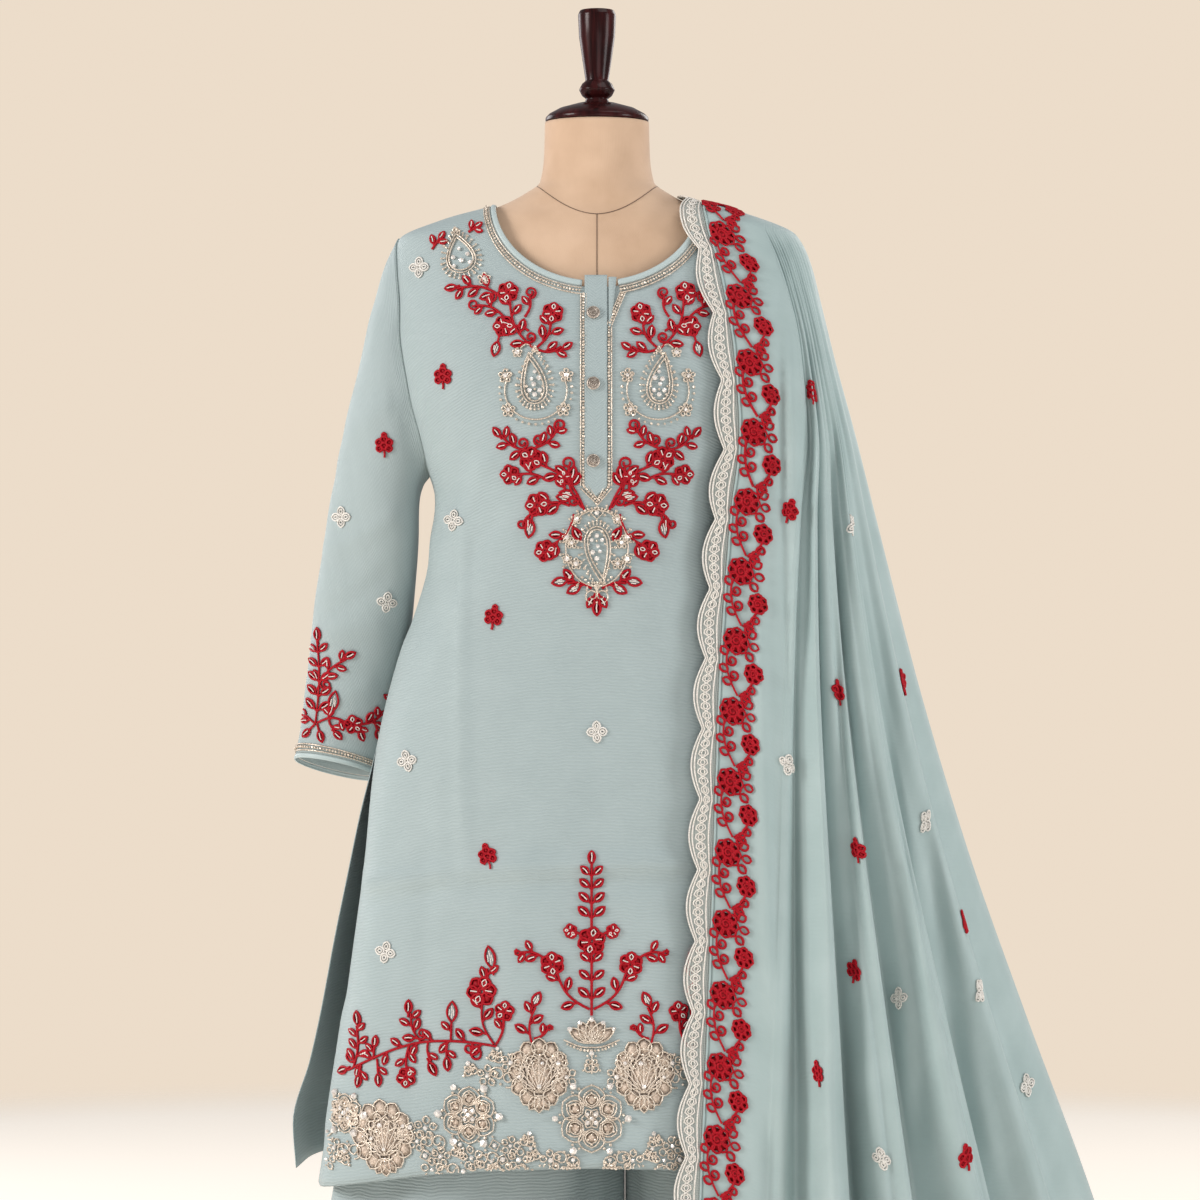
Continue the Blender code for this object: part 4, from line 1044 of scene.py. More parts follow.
def net(name, dark, light):
    """Net for lace: its threads stand and its meshes are clear."""
    made, tree, shader = new_material(name, light, 0.8)
    threads = node(tree, "UVMap", uv_map="threads")
    cells = node(tree, "TexVoronoi", {"Vector": threads.outputs[0], "Scale": 620.0, "Randomness": 0.25},
                 feature="DISTANCE_TO_EDGE")
    shaded(tree, shader, cells.outputs["Distance"], light, dark, 0.05, 0.3)
    clear = node(tree, "Math", {0: cells.outputs["Distance"], 1: 0.22}, operation="LESS_THAN")
    join(tree, clear.outputs[0], shader.inputs["Alpha"])
    return made


# ---- Embroidery ----

# A drawn stitch line: its thread, its points as x and height, and whether its ends join.
Stroke = namedtuple("Stroke", "thread points closed")


def drawn(thread, points):
    """An open line, or a set of beads."""
    return [Stroke(thread, np.array(points, float), False)]


def hoop(points, *threads):
    """A closed outline in one or more threads."""
    return [Stroke(thread, points, True) for thread in threads]


def put(strokes, x=0.0, z=0.0, turn=0.0):
    """Strokes turned clockwise by degrees as they are seen, and moved to their place."""
    sine, cosine = math.sin(math.radians(turn)), math.cos(math.radians(turn))
    placed = []
    for stroke in strokes:
        across, up = stroke.points[:, 0], stroke.points[:, 1]
        points = np.stack((across * cosine + up * sine + x, up * cosine - across * sine + z), axis=1)
        placed.append(Stroke(stroke.thread, points, stroke.closed))
    return placed


def in_a_ring(count, strokes, start=0.0):
    return [stroke for i in range(count) for stroke in put(strokes, turn=360 * i / count + start)]


def loop(length, width, steps=9, round_tip=False):
    """The outline of a petal or a leaf that stands up from its base."""
    t = np.linspace(0, 1, steps)
    side = np.sin(math.pi * t) ** (0.65 if round_tip else 0.9)
    left = np.stack((-width / 2 * side, length * t), axis=1)
    right = np.stack((width / 2 * side, length * t), axis=1)[::-1][1:-1]
    return np.concatenate((left, right))


def oval(half_width, half_height, steps):
    turn = np.linspace(0, math.tau, steps, endpoint=False)
    return np.stack((half_width * np.sin(turn), half_height * np.cos(turn)), axis=1)


def coil(radius, turns, steps, closing):
    """A spiral from its outer end; closing is how much of its radius it loses."""
    t = np.linspace(0, 1, steps)
    angle = math.tau * turns * t
    return np.stack((np.cos(angle), np.sin(angle)), axis=1) * (radius * (1 - closing * t))[:, None]


def stem(points, thread="red", step=2.5):
    """A smooth line through points given as x and height."""
    points = np.array(points, float)
    along = running(points[None], 1)[0]
    t = np.linspace(0, along[-1], max(3, int(along[-1] / step)))
    before = np.concatenate((points[:1] * 2 - points[1:2], points[:-1]))
    after = np.concatenate((points[1:], points[-1:] * 2 - points[-2:-1]))
    i = np.clip(np.searchsorted(along, t, "right") - 1, 0, len(points) - 2)
    s = ((t - along[i]) / (along[i + 1] - along[i]))[:, None]
    a, b, c, d = before[i], points[i], points[i + 1], after[i + 1]
    curve = b + s * (c - a) / 2 + s**2 * (2 * a - 5 * b + 4 * c - d) / 2 + s**3 * (3 * b - a - 3 * c + d) / 2
    return drawn(thread, curve)


def beaded(points):
    return stem(points, "bead", 3.2)


def leaf(length, width):
    """A couched leaf outline with a pale filling stitch."""
    outline = loop(length, width)
    strokes = hoop(outline, "red") + drawn("red", [(0, -length * 0.28), (0, 0)])
    strokes += drawn("white", [(0, length * 0.2), (width * 0.06, length * 0.5), (0, length * 0.8)])
    if length <= 14:
        return strokes + hoop(outline * (0.8, 0.92) + (0, length * 0.04), "red pad")
    for side in (-1, 1):
        strokes += drawn("white", [(side * width * 0.24, length * 0.32), (side * width * 0.2, length * 0.62)])
    return strokes


def scroll(radius, turns=1.35, hand=1, thread="red"):
    """A spiral whose outer end is at its foot."""
    return drawn(thread, coil(radius, turns, 20, 0.72)[:, ::-1] * (hand, -1) + (0, radius))


def rosette(radius, petals=8):
    """A flower of dense loops round a coil."""
    petal = loop(radius * 0.62, radius * 0.7, 6, True) + (0, radius * 0.38)
    heart = coil(radius * 0.86, 1, 11, 0)[:-1]
    strokes = in_a_ring(petals, hoop(petal, "red")) + drawn("red", coil(radius * 0.56, 2.0, 18, 0.8))
    return strokes + hoop(heart, "red pad")


def bloom(radius, petals):
    """A red flower with pale stitches on its petals."""
    strokes = []
    petal = loop(radius * 0.82, radius * 0.86, 8, True) + (0, radius * 0.2)
    for i in range(petals):
        shape = hoop(petal, "red") + hoop(petal * (0.94, 0.98), "red pad")
        if i % 3 == 0:
            shape += hoop(loop(radius * 0.5, radius * 0.34, 5) + (0, radius * 0.36), "white")
        elif i % 3 == 1:
            shape += drawn("white", [(0, radius * 0.3), (radius * 0.12, radius * 0.75)])
        strokes += put(shape, turn=360 * i / petals + 12)
    return strokes + drawn("red", coil(radius * 0.34, 1.7, 14, 0.75))


def red_buti():
    """A small scattered cluster of loops on a short stalk."""
    strokes = []
    for x, z, r in ((0, 6, 3.4), (-5, 3, 3.2), (5, 3, 3.2), (-4.5, -3, 3.2), (4.5, -3, 3.2), (0, -0.4, 3.4),
                    (0, 10, 2.2)):
        outer, inner = loop(2 * r, 1.9 * r, 6, True), loop(1.9 * r, 1.8 * r, 6, True)
        strokes += put(hoop(outer, "red") + hoop(inner, "red pad"), x, z - r)
    return strokes + stem(((0, -5), (0.6, -9), (0.2, -12)))


def white_buti():
    """A small pale diamond of four petals."""
    strokes = []
    for turn, length, width in ((0, 9, 7), (90, 8.5, 7.5), (180, 9, 7), (270, 8.5, 7.5)):
        outer = loop(length, width, 8, True) + (0, 1.2)
        inner = loop(length * 0.5, width * 0.42, 6, True) + (0, 3.2)
        strokes += put(hoop(outer, "ivory") + hoop(inner, "ivory"), turn=turn)
    return strokes


def teardrop(length, width, lean=0.0, steps=26):
    """A paisley outline that stands on its round end, with its point on top."""
    angle = math.tau * np.linspace(0, 1, steps, endpoint=False)
    z = length * (1 + np.cos(angle)) / 2
    x = width / 2 * np.sin(angle) * (0.98 * np.abs(np.sin(angle / 2))) ** 1.1
    return np.stack((x * 1.12 + lean * (z / length) ** 2, z), axis=1)


def rays(outline, inside, reach=5.5, step=1):
    """Short stitches that stand out from an outline, each with a bead on its end."""
    strokes = []
    for point in outline[::step]:
        out = point - inside
        out = out / (np.linalg.norm(out) + 1e-9)
        strokes += drawn("wire", [point + out * 1.5, point + out * reach * 0.7]) + drawn("bead", [point + out * reach])
    return strokes


def paisley(length, width, hook=True):
    """A silver paisley of two wires with stones inside and beaded rays outside."""
    inner = teardrop(length * 0.84, width * 0.76, -width * 0.2) + (0, length * 0.05)
    strokes = hoop(teardrop(length, width, -width * 0.2), "wire") + hoop(inner, "wire")
    strokes += rays(teardrop(length, width, steps=34), np.array((0, length * 0.36)))
    strokes += drawn("stone", [(0, 9), (-5, 13), (5, 13), (-1, 19), (4, 25), (-3, 24), (0, 31)])
    strokes += drawn("bead", [(-8, 17), (8, 17), (-7, 9), (7, 9), (0, 14), (0, 36), (-5, 5), (5, 5)])
    if hook:
        strokes += stem(((0, length), (-3, length + 6), (-9, length + 8), (-14, length + 4)), "wire")
        strokes += put(spangle_flower(4.5), -17, length)
    return strokes


def spangle_flower(radius):
    """A small silver flower with a stone in its middle."""
    petal = loop(radius * 0.7, radius * 0.6, 5, True) + (0, radius * 0.35)
    return drawn("stone", [(0, 0)]) + in_a_ring(5, hoop(petal, "wire"))


def jewel_flower(radius, petals=6):
    """A large silver flower: double petals, stones between them and a jewelled heart."""
    shape = []
    for grow, across in ((1.0, 0.92), (0.8, 0.72)):
        petal = loop(radius * 0.66 * grow, radius * across * grow * 0.82, 9, True) + (0, radius * 0.3)
        shape += hoop(petal, "wire")
    shape += hoop(loop(radius * 0.36, radius * 0.36, 8, True) + (0, radius * 0.36), "wire", "satin pad")
    shape += drawn("bead", [(0, radius * 0.46), (-radius * 0.1, radius * 0.6), (radius * 0.1, radius * 0.6),
                            (0, radius * 0.74)])
    between = drawn("pearl", [(0, radius * 1.06)]) + drawn("bead", [(-3.5, radius * 0.92), (3.5, radius * 0.92)])
    between += hoop(loop(radius * 0.3, radius * 0.22, 6), "wire")
    shape += put(between, turn=180 / petals)
    return in_a_ring(petals, shape) + drawn("stone", [(0, 0), (4, 4), (-4, 4), (4, -4), (-4, -4)])


def peony(width, height):
    """A large silver bloom: a scalloped rim, layered and ribbed petals, and a fan beneath."""
    middle, foot = np.array((0, height * 0.52)), height * 0.26
    strokes = []
    rim = loop(height * 0.24, width * 0.34, 8, True) + (0, height * 0.22)
    for turn in range(-150, 151, 30):
        for stroke in put(hoop(rim, "wire", "satin pad"), turn=turn):
            strokes += hoop(stroke.points * (0.94, 1.08) + middle, stroke.thread)
    body = middle + oval(0.38 * width, 0.34 * height, 24)
    strokes += hoop(body, "satin pad", "wire")
    for turn, long, wide in ((0, 0.5, 0.5), (-34, 0.44, 0.34), (34, 0.44, 0.34), (0, 0.32, 0.28)):
        strokes += put(hoop(loop(long * height, wide * width, 9, True), "wire"), 0, foot, turn)
    for turn in range(-56, 57, 14):
        strokes += put(drawn("satin", [(0, height * 0.1), (0, height * 0.5 - abs(turn) * 0.1)]), 0, foot, turn)
    for turn in (-34, 0, 34):
        petal = hoop(loop(height * 0.24, width * 0.2, 7, True), "wire", "satin pad")
        strokes += put(petal, 0, height * 0.22, turn + 180)
    return strokes + drawn("bead", body[::3] * (1.1, 1.0)) + drawn("stone", [middle - (0, height * 0.18)])


def lotus(width, height):
    """A silver crown of petals over a wire calyx."""
    strokes = []
    for turn, long, wide in ((0, 1.0, 0.2), (-30, 0.98, 0.2), (30, 0.98, 0.2), (-58, 1.1, 0.18), (58, 1.1, 0.18)):
        petal = hoop(loop(long * height, wide * width, 8), "wire", "satin pad")
        petal += hoop(loop(long * height * 0.6, wide * width * 0.5, 6), "wire")
        strokes += put(petal + drawn("stone", [(0, long * height * 0.92)]), turn=turn)
    for make, half, shoulder, rise, sag, low in ((wired, 0.46, 0.2, 3, -3, -4), (beaded, 0.4, 0.18, -1, -6, -7)):
        line = (-half, rise), (-shoulder, sag), (0, low), (shoulder, sag), (half, rise)
        strokes += make([(share * width, z) for share, z in line])
    return strokes


def wired(points):
    return stem(points, "wire")


def wire_sprig(height):
    """Small silver scrolls and stones on a stalk."""
    strokes = wired(((0, 0), (0.5, height * 0.5), (0, height)))
    for side in (-1, 1):
        for z, radius in ((height * 0.2, 4.0), (height * 0.6, 3.2)):
            strokes += put(scroll(radius, 1.1, side, "wire"), 0, z, turn=side * 60)
        strokes += drawn("bead", [(side * 6, height * 0.5), (side * 8, height * 0.2), (side * 4, height)])
    return strokes + drawn("stone", [(0, height + 2.5)])


def build_cord_tree():
    """A round cord along each line of a mesh of edges."""
    tree, given, result = new_group(
        "Cord along lines", [("Lines", "Geometry", None), ("Radius", "Float", 0.001), ("Sides", "Int", 5),
                             ("Finish", "Material", None)], [("Cord", "Geometry")], "GeometryNodeTree")
    curve = node(tree, "GeometryNodeMeshToCurve", {"Mesh": given.outputs["Lines"]})
    ring = node(tree, "GeometryNodeCurvePrimitiveCircle",
                {"Radius": given.outputs["Radius"], "Resolution": given.outputs["Sides"]})
    tube = node(tree, "GeometryNodeCurveToMesh",
                {"Curve": curve.outputs[0], "Profile Curve": ring.outputs[0], "Fill Caps": True})
    soft = node(tree, "GeometryNodeSetShadeSmooth", {"Geometry": tube.outputs[0]})
    end_tree(tree, soft.outputs[0], given, result)
    return tree


def end_tree(tree, made, given, result):
    """The last two steps of every tree: real meshes, in the finish that was asked for."""
    real = node(tree, "GeometryNodeRealizeInstances", {0: made})
    finish = node(tree, "GeometryNodeSetMaterial", {"Geometry": real.outputs[0], "Material": given.outputs["Finish"]})
    join(tree, finish.outputs[0], result.inputs[0])


def build_bead_tree():
    """A small bead on each point, turned at random."""
    tree, given, result = new_group(
        "Beads on points", [("Points", "Geometry", None), ("Radius", "Float", 0.001), ("Smallest", "Float", 0.8),
                            ("Seed", "Int", 3), ("Finish", "Material", None)], [("Beads", "Geometry")],
        "GeometryNodeTree")
    seed = given.outputs["Seed"]
    ball = node(tree, "GeometryNodeMeshIcoSphere", {"Subdivisions": 1, "Radius": given.outputs["Radius"]})
    turn = node(tree, "FunctionNodeRandomValue", {"Max": (6.28, 6.28, 6.28), "Seed": seed}, data_type="FLOAT_VECTOR")
    size = node(tree, "FunctionNodeRandomValue", {"Seed": seed}, data_type="FLOAT")
    smallest, largest = (next(s for s in size.inputs if s.name == name and s.enabled) for name in ("Min", "Max"))
    join(tree, given.outputs["Smallest"], smallest)
    largest.default_value = 1.15
    spread = node(tree, "GeometryNodeInstanceOnPoints", {
        "Points": given.outputs["Points"], "Instance": ball.outputs["Mesh"], "Rotation": turn.outputs["Value"],
        "Scale": next(s for s in size.outputs if s.enabled)})
    end_tree(tree, spread.outputs[0], given, result)
    return tree


CORD_TREE = build_cord_tree()
BEAD_TREE = build_bead_tree()


def grown(name, points, edges, tree, **inputs):
    """A piece that a node tree grows on points or lines, as plain mesh."""
    mesh = bpy.data.meshes.new(name)
    mesh.from_pydata([tuple(point) for point in points], edges, [])
    obj = new_object(name, mesh, None)
    made = obj.modifiers.new("Grown", "NODES")
    made.node_group = tree
    sockets = {item.name: item.identifier for item in tree.interface.items_tree if item.in_out == "INPUT"}
    for label, value in inputs.items():
        made[sockets[label]] = value
    return settled(obj)


def chained(count, first=0):
    """The edges that join a run of points, each to the next."""
    return [(first + i, first + i + 1) for i in range(count - 1)]


# How each thread is made: half its thickness, and how far its middle stands off the cloth.
Yarn = namedtuple("Yarn", "radius lift sides")
YARNS = {
    "red": Yarn(1.3, 1.2, 4), "white": Yarn(0.62, 2.0, 4), "ivory": Yarn(1.0, 1.0, 4), "wire": Yarn(0.85, 1.5, 4),
    "satin": Yarn(0.6, 2.0, 4), "lace": Yarn(0.8, 0.7, 4), "hem roll": Yarn(1.1, 0.3, 5),
}
BEADS = {"bead": Yarn(1.5, 1.5, 0), "stone": Yarn(2.5, 2.0, 0), "pearl": Yarn(4.0, 2.4, 0)}
PADS = {"red pad": 1.3, "satin pad": 1.7}


def make_pads(name, strokes, kind, lay):
    """Low padded patches that fill closed outlines."""
    shape = bmesh.new()
    for stroke in strokes:
        ring = lay(stroke.points, 0.3)
        middle = stroke.points.mean(axis=0)[None, :]
        high, low = lay(middle, PADS[kind])[0], lay(middle, 0.05)[0]
        if high is None or any(place is None for place in ring):
            continue
        corners = [shape.verts.new(place) for place in ring]
        tops = shape.verts.new(high), shape.verts.new(low)
        for one, two in zip(corners, corners[1:] + corners[:1]):
            for top in tops:
                shape.faces.new((one, two, top))
    bmesh.ops.recalc_face_normals(shape, faces=shape.faces)
    return new_object(name, finished(shape, name), FINISHES[kind])


def make_stitching(name, strokes, lay, slot):
    """All the strokes on one cloth, one piece for each kind of thread; lay puts flat points on the cloth."""
    for kind in sorted({stroke.thread for stroke in strokes}):
        label = f"{name}_{kind.replace(' ', '_')}"
        chosen = [stroke for stroke in strokes if stroke.thread == kind]
        if kind in PADS:
            add(make_pads(label, chosen, kind, lay), slot)
            continue
        yarn = YARNS.get(kind) or BEADS[kind]
        points, edges = [], []
        for stroke in chosen:
            laid = lay(stroke.points, yarn.lift)
            run = []
            for place in laid:
                if place is None:
                    run = []
                    continue
                points.append(place)
                if run:
                    edges.append((len(points) - 2, len(points) - 1))
                run.append(len(points) - 1)
            if stroke.closed and len(run) == len(laid):
                edges.append((run[-1], run[0]))
        if not points:
            continue
        common = {"Radius": yarn.radius * MM, "Finish": FINISHES[kind]}
        if kind in YARNS:
            piece = grown(label, points, edges, CORD_TREE, Sides=yarn.sides, **common)
        else:
            piece = grown(label, points, [], BEAD_TREE, **common)
        add(piece, "silver_metal" if kind in BEADS or kind == "wire" else slot)


def lay_on(tree, sign, limit=None):
    """Lays flat points on a cloth seen from the front, sign -1, or from the back, sign 1."""
    def lay(points, lift):
        laid = []
        for x, z in points:
            place = None
            if limit is None or limit(x, z):
                start = Vector((x * MM, sign * 0.9, z * MM))
                place, normal, _, _ = tree.ray_cast(start, Vector((0, -sign, 0)))
            if place is not None:
                if normal.y * sign < 0:
                    normal = -normal
                place = place + normal * lift * MM if normal.y * sign >= 0.3 else None
            laid.append(place)
        return laid

    return lay


def centred(strokes, length):
    return put(strokes, 0, -length / 2)


def silver_drop(size):
    """A teardrop of two wires with stones inside and beaded rays outside."""
    drop = teardrop(size, size * 0.86, steps=30)
    middle = np.array((0, size * 0.4))
    stones = [(0, size * 0.3), (-size * 0.18, size * 0.42), (size * 0.18, size * 0.42), (0, size * 0.6),
              (-size * 0.2, size * 0.2), (size * 0.2, size * 0.2)]
    strokes = hoop(drop, "wire") + hoop(middle + (drop - middle) * 0.84, "wire") + drawn("stone", stones)
    return strokes + rays(drop, middle)


def diamond(size):
    corners = np.array([(0, size / 2), (size / 2, 0), (0, -size / 2), (-size / 2, 0)])
    return hoop(corners, "wire") + drawn("stone", [(0, 0)])


def curls(size):
    """Two small scrolls back to back, with a bead above and one below."""
    pair = []
    for side in (1, -1):
        pair += put(scroll(size * 0.8, 1.2, side, "wire"), side * size * 0.5, -size * 0.8)
    return pair + drawn("bead", [(0, size * 0.5), (0, -size * 0.7)])


# Each named motif about its own middle, or above its foot for the tall silver ones.
MOTIFS = {
    "leaf": lambda size: centred(leaf(size, min(size * 0.52, 9.5)), size),
    "bloom": lambda size: bloom(size, 6 if size > 9 else 5),
    "knob": lambda size: drawn("red", coil(size * 0.8, 1.3, 9, 0.7)),
    "scroll": lambda size: put(scroll(size), 0, -size),
    "curl": lambda size: put(scroll(size, hand=-1), 0, -size),
    "paisley": lambda size: paisley(size, size * 0.6),
    "point": lambda size: centred(paisley(size, size * 0.54, False), size),
    "teardrop": silver_drop, "knot": spangle_flower, "diamond": diamond, "curls": curls,
    "wiresprig": wire_sprig, "jewel": jewel_flower,
    "peony": lambda size: peony(size * 0.68, size),
    "lotus": lambda size: lotus(size, size * 0.42),
}


def sewn(rows):
    """Every motif of a table in its place."""
    return [stroke for row in rows for stroke in put(MOTIFS[row.motif](row.size), row.x, row.z, row.turn)]


def spray(row):
    """A bowed stem with its leaves and its head, standing on its foot."""
    t = np.linspace(0, 1, 9)
    strokes = stem(np.stack((row.bow * np.sin(math.pi * t), row.length * t), axis=1))
    places = math.ceil(row.leaves / 2) if row.paired else row.leaves
    for count in range(row.leaves):
        at = ((count // 2 if row.paired else count) + 0.9) / (places + 0.7)
        side = 1 if count % 2 else -1
        lean = math.degrees(math.atan2(row.bow * math.pi * math.cos(math.pi * at), row.length)) + 50 * side
        size = row.size * (1.12 - 0.3 * at)
        out = 0.28 * size
        strokes += put(leaf(size, size * 0.52), row.bow * math.sin(math.pi * at) + out * math.sin(math.radians(lean)),
                       row.length * at + out * math.cos(math.radians(lean)), lean)
    if row.leaves >= 4 and not row.paired:
        hand = 1 if row.bow < 0 else -1
        strokes += put(scroll(5.5, 1.3, hand), row.bow * 0.5 + hand, row.length * 0.16, 50 * hand)
    tip = -math.degrees(math.atan2(row.bow * math.pi, row.length))
    return strokes + put(MOTIFS[row.head](row.head_size), 0, row.length + row.head_size / 2, tip)


def sprays(rows):
    return [stroke for row in rows for stroke in put(spray(row), row.x, row.z, row.turn)]


def crescent(x, z, half_width, half_height):
    """A wire and a row of beads round the foot of a paisley, with small flowers along them."""
    turn = np.radians(np.linspace(52, 308, 25))
    line = np.stack((half_width * np.sin(turn), half_height * np.cos(turn)), axis=1)
    strokes = drawn("wire", line * 0.86 + (x, z)) + drawn("bead", line + (x, z))
    for place in line[[1, 7, 17, 23]]:
        strokes += put(spangle_flower(6.5), *(place * 0.95 + (x, z)))
    return strokes


def silver_filling(large, left=-262, foot=481, across=15, up=13):
    """Small silver motifs in staggered rows, wherever the large ones of the hem leave room."""
    strokes, count = [], 0
    for row in range(9):
        for x in np.arange(left + 8 * (row % 2), TRUNK - 10, across):
            z = foot + up * row
            near_large = any(math.hypot(x - one.x, z - one.z) < (1.12 if one.motif == "jewel" else 0.44) * one.size + 5
                             for one in large)
            if z > row_at(SILVER_TOP, x).height or near_large:
                continue
            filler = MOTIFS[FILLING[count % len(FILLING)]](9 + count % 3)
            strokes += put(filler, x, z, 20 * math.sin(1.7 * count)) + drawn("bead", [(x + 8, z + 3), (x - 2, z + 8)])
            count += 1
    return strokes


def on_both_sides(strokes, middle=0.0):
    """The strokes and their mirror image."""
    return strokes + [Stroke(s.thread, s.points * (-1, 1) + (2 * middle, 0), s.closed) for s in strokes]


def medallion_ring(x, z, half_width, half_height):
    """A wire oval with stones along it and beaded rays outside."""
    middle = np.array((x, z))
    edge = middle + oval(half_width, half_height, 44)
    strokes = hoop(edge, "wire") + drawn("bead", edge[2::4] * 0.9 + middle * 0.1)
    for place in edge[[5, 9, 13, 31, 35, 39]]:
        strokes += put(spangle_flower(4.5), *place)
    return strokes + rays(edge, middle, step=2)


def scattered(spots, motif_of):
    """Small motifs at their spots, each turned a little."""
    return [stroke for count, (x, z) in enumerate(spots)
            for stroke in put(motif_of(), x, z, 14 * math.sin(2.4 * count))]


def lay_in_folds(grid, sign, spots, over=0.45):
    """Lays small motifs along the threads of folded cloth, each about its own spot."""
    normals = cloth_normals(grid, (0.1, sign, 0.1))
    across, down = running(grid, 1), running(grid, 0)
    homes = []
    for x, z in spots:
        away = np.hypot(grid[..., 0] - x, grid[..., 2] - z) - 0.1 * sign * grid[..., 1]
        homes.append(np.unravel_index(np.argmin(away), away.shape))

    def lay(points, lift):
        laid = []
        for x, z in points:
            number = min(range(len(spots)), key=lambda i: math.hypot(x - spots[i][0], z - spots[i][1]))
            row, column = homes[number]
            low = np.interp(down[row, column] - z + spots[number][1], down[:, column], np.arange(len(grid)))
            row = min(int(low), len(grid) - 2)
            line, side, reach = between_rows((grid, normals, across), row, low - row)
            at = reach[column] + x - spots[number][0]
            if 0 < low < len(grid) - 1 and 0 < at < reach[-1]:
                laid.append(off_line(line, side, reach, at, lift + over))
            else:
                laid.append(None)
        return laid

    return lay


def between_rows(grids, row, share):
    """A row between two rows of each grid."""
    return [grid[row] + (grid[row + 1] - grid[row]) * share for grid in grids]


def off_line(line, side, reach, at, lift, shift=0.0):
    """The place at a length along a line of cloth, moved and then lifted off the cloth."""
    place, out = (np.array([np.interp(at, reach, part[:, axis]) for axis in range(3)]) for part in (line, side))
    return Vector((place + shift + out / np.linalg.norm(out) * lift) * MM)


# ---- Dupatta border and lace ----

BORDER_PLACE = 13


def border_repeat():
    """One repeat of the border: a large flower, a small one, and a leafy vine with scrolls between them."""
    strokes = rosette(13.0) + put(rosette(9.5, 7), 19, -27)
    petal = hoop(loop(9, 7, 7, True), "red")
    for turn in (58, 94, 130):
        strokes += put(petal, 14 * math.sin(math.radians(turn)), 14 * math.cos(math.radians(turn)), turn)
    t = np.linspace(0, 1, 9)
    vine = np.stack((12 * t - 8 - 5 * np.sin(math.pi * t), -10 - 42 * t), axis=1)
    branch = np.stack((19 - 14 * t, -35 - 17 * np.sin(math.pi / 2 * t)), axis=1)
    strokes += stem(vine) + stem(branch)
    for at, turn in ((1, -40), (4, -60), (6, -75)):
        strokes += put(petal, *vine[at], turn)
    for at, turn in ((2, 80), (5, 55)):
        strokes += put(scroll(5.4, 1.25), *vine[at], turn)
    strokes += put(scroll(4.6, 1.25, -1), *branch[3], 85)
    for turn in (60, 105, 150):
        strokes += put(leaf(9, 5)[:2], *branch[6], turn)
    return strokes


def border_strokes(repeats, last):
    return [stroke for count in range(repeats)
            for stroke in put(border_repeat(), BORDER_PLACE, last - SCALLOP * count)]


def lay_along(grids, over=0.45):
    """Lays points on the dupatta's border, x across it from its edge and z along it from the front hem."""
    front, back = (points[:, :19] for points in grids)
    grid = np.concatenate((front[::-1], back[1:]))
    along, across = running(grid[:, :1], 0)[:, 0], running(grid, 1)
    out = stack(0.25, np.where(np.arange(len(grid)) < len(front), -1.0, 1.0), 0.25)[:, None]
    normals = cloth_normals(grid)
    normals *= np.where((normals * out).sum(axis=2, keepdims=True) > 0, 1, -1)

    def lay(points, lift):
        laid = []
        for x, z in points:
            if not 0.5 <= z <= along[-1] - 0.5:
                laid.append(None)
                continue
            row = np.searchsorted(along, z) - 1
            share = (z - along[row]) / (along[row + 1] - along[row])
            line, side, reach = between_rows((grid, normals, across), row, share)
            shift = np.zeros(3)
            if x < 0:
                rise = LACE_RISE * ease(1 - (DUPATTA_TOP - np.interp(x, reach, line[:, 2])) / LACE_RISE_LENGTH)
                shift = np.array((x, 0, -rise * x / LACE_WIDTH))
            laid.append(off_line(line, side, reach, x, lift + over, shift))
        return laid

    return lay, along[-1]


def lay_lace(line, even):
    """Lays points on the lace, x from 0 at the cloth to 1 at the scallops and z along it."""
    steps = np.arange(len(line))
    out = np.where(line[:, 1] < 0, -1.0, 1.0)

    def lay(points, lift):
        at = np.clip(points[:, 1] / LACE_STEP, 0, len(line) - 1.001)
        base = stack(*(np.interp(at, steps, line[:, axis]) for axis in range(3)))
        placed = lace_points(base, at * LACE_STEP, points[:, 0])
        placed[:, 1] += np.interp(at, steps, out) * (0.2 + lift * 0.7)
        placed[:, 2] += (lift + 0.2) * ease(1 - (DUPATTA_TOP - base[:, 2]) / 16)
        return [Vector(place * MM) for place in placed]

    return lay


def lace_strokes(length):
    """The lace's edge cords, its crossing cords and the ovals between them."""
    z = np.arange(0.5, length - 1, LACE_STEP)
    strokes = []
    for thread, share in (("lace", 0.24), ("lace", 0.86), ("lace", 0.98), ("hem roll", -0.01)):
        strokes += drawn(thread, np.stack((0 * z + share, z), axis=1))
    for phase in (0, math.pi):
        strokes += drawn("lace", np.stack((0.55 + 0.2 * np.sin(math.tau * z / 18 + phase), z), axis=1))
    for middle in np.arange(4.5, length - 5, 9):
        strokes += hoop(coil(1, 1, 7, 0)[:-1] * (0.09, 2.6) + (0.55, middle), "lace")
    return strokes


# ---- Trims and buttons ----


def near(tree):
    """Moves places to the nearest point of a cloth and off it by lift, away from the form."""
    def laid_on(places, lift):
        laid = []
        for place in places:
            spot, normal, _, _ = tree.find_nearest(Vector(place * MM))
            if normal.dot(Vector((spot.x, spot.y, 0.06))) < 0:
                normal = -normal
            laid.append(spot + normal * lift * MM)
        return laid

    return laid_on


def off_ring(places, lift):
    """Places moved away from the middle of their own ring."""
    out = places - places.mean(axis=0)
    out /= np.linalg.norm(out, axis=1, keepdims=True)
    return [Vector(place * MM) for place in places + out * lift]


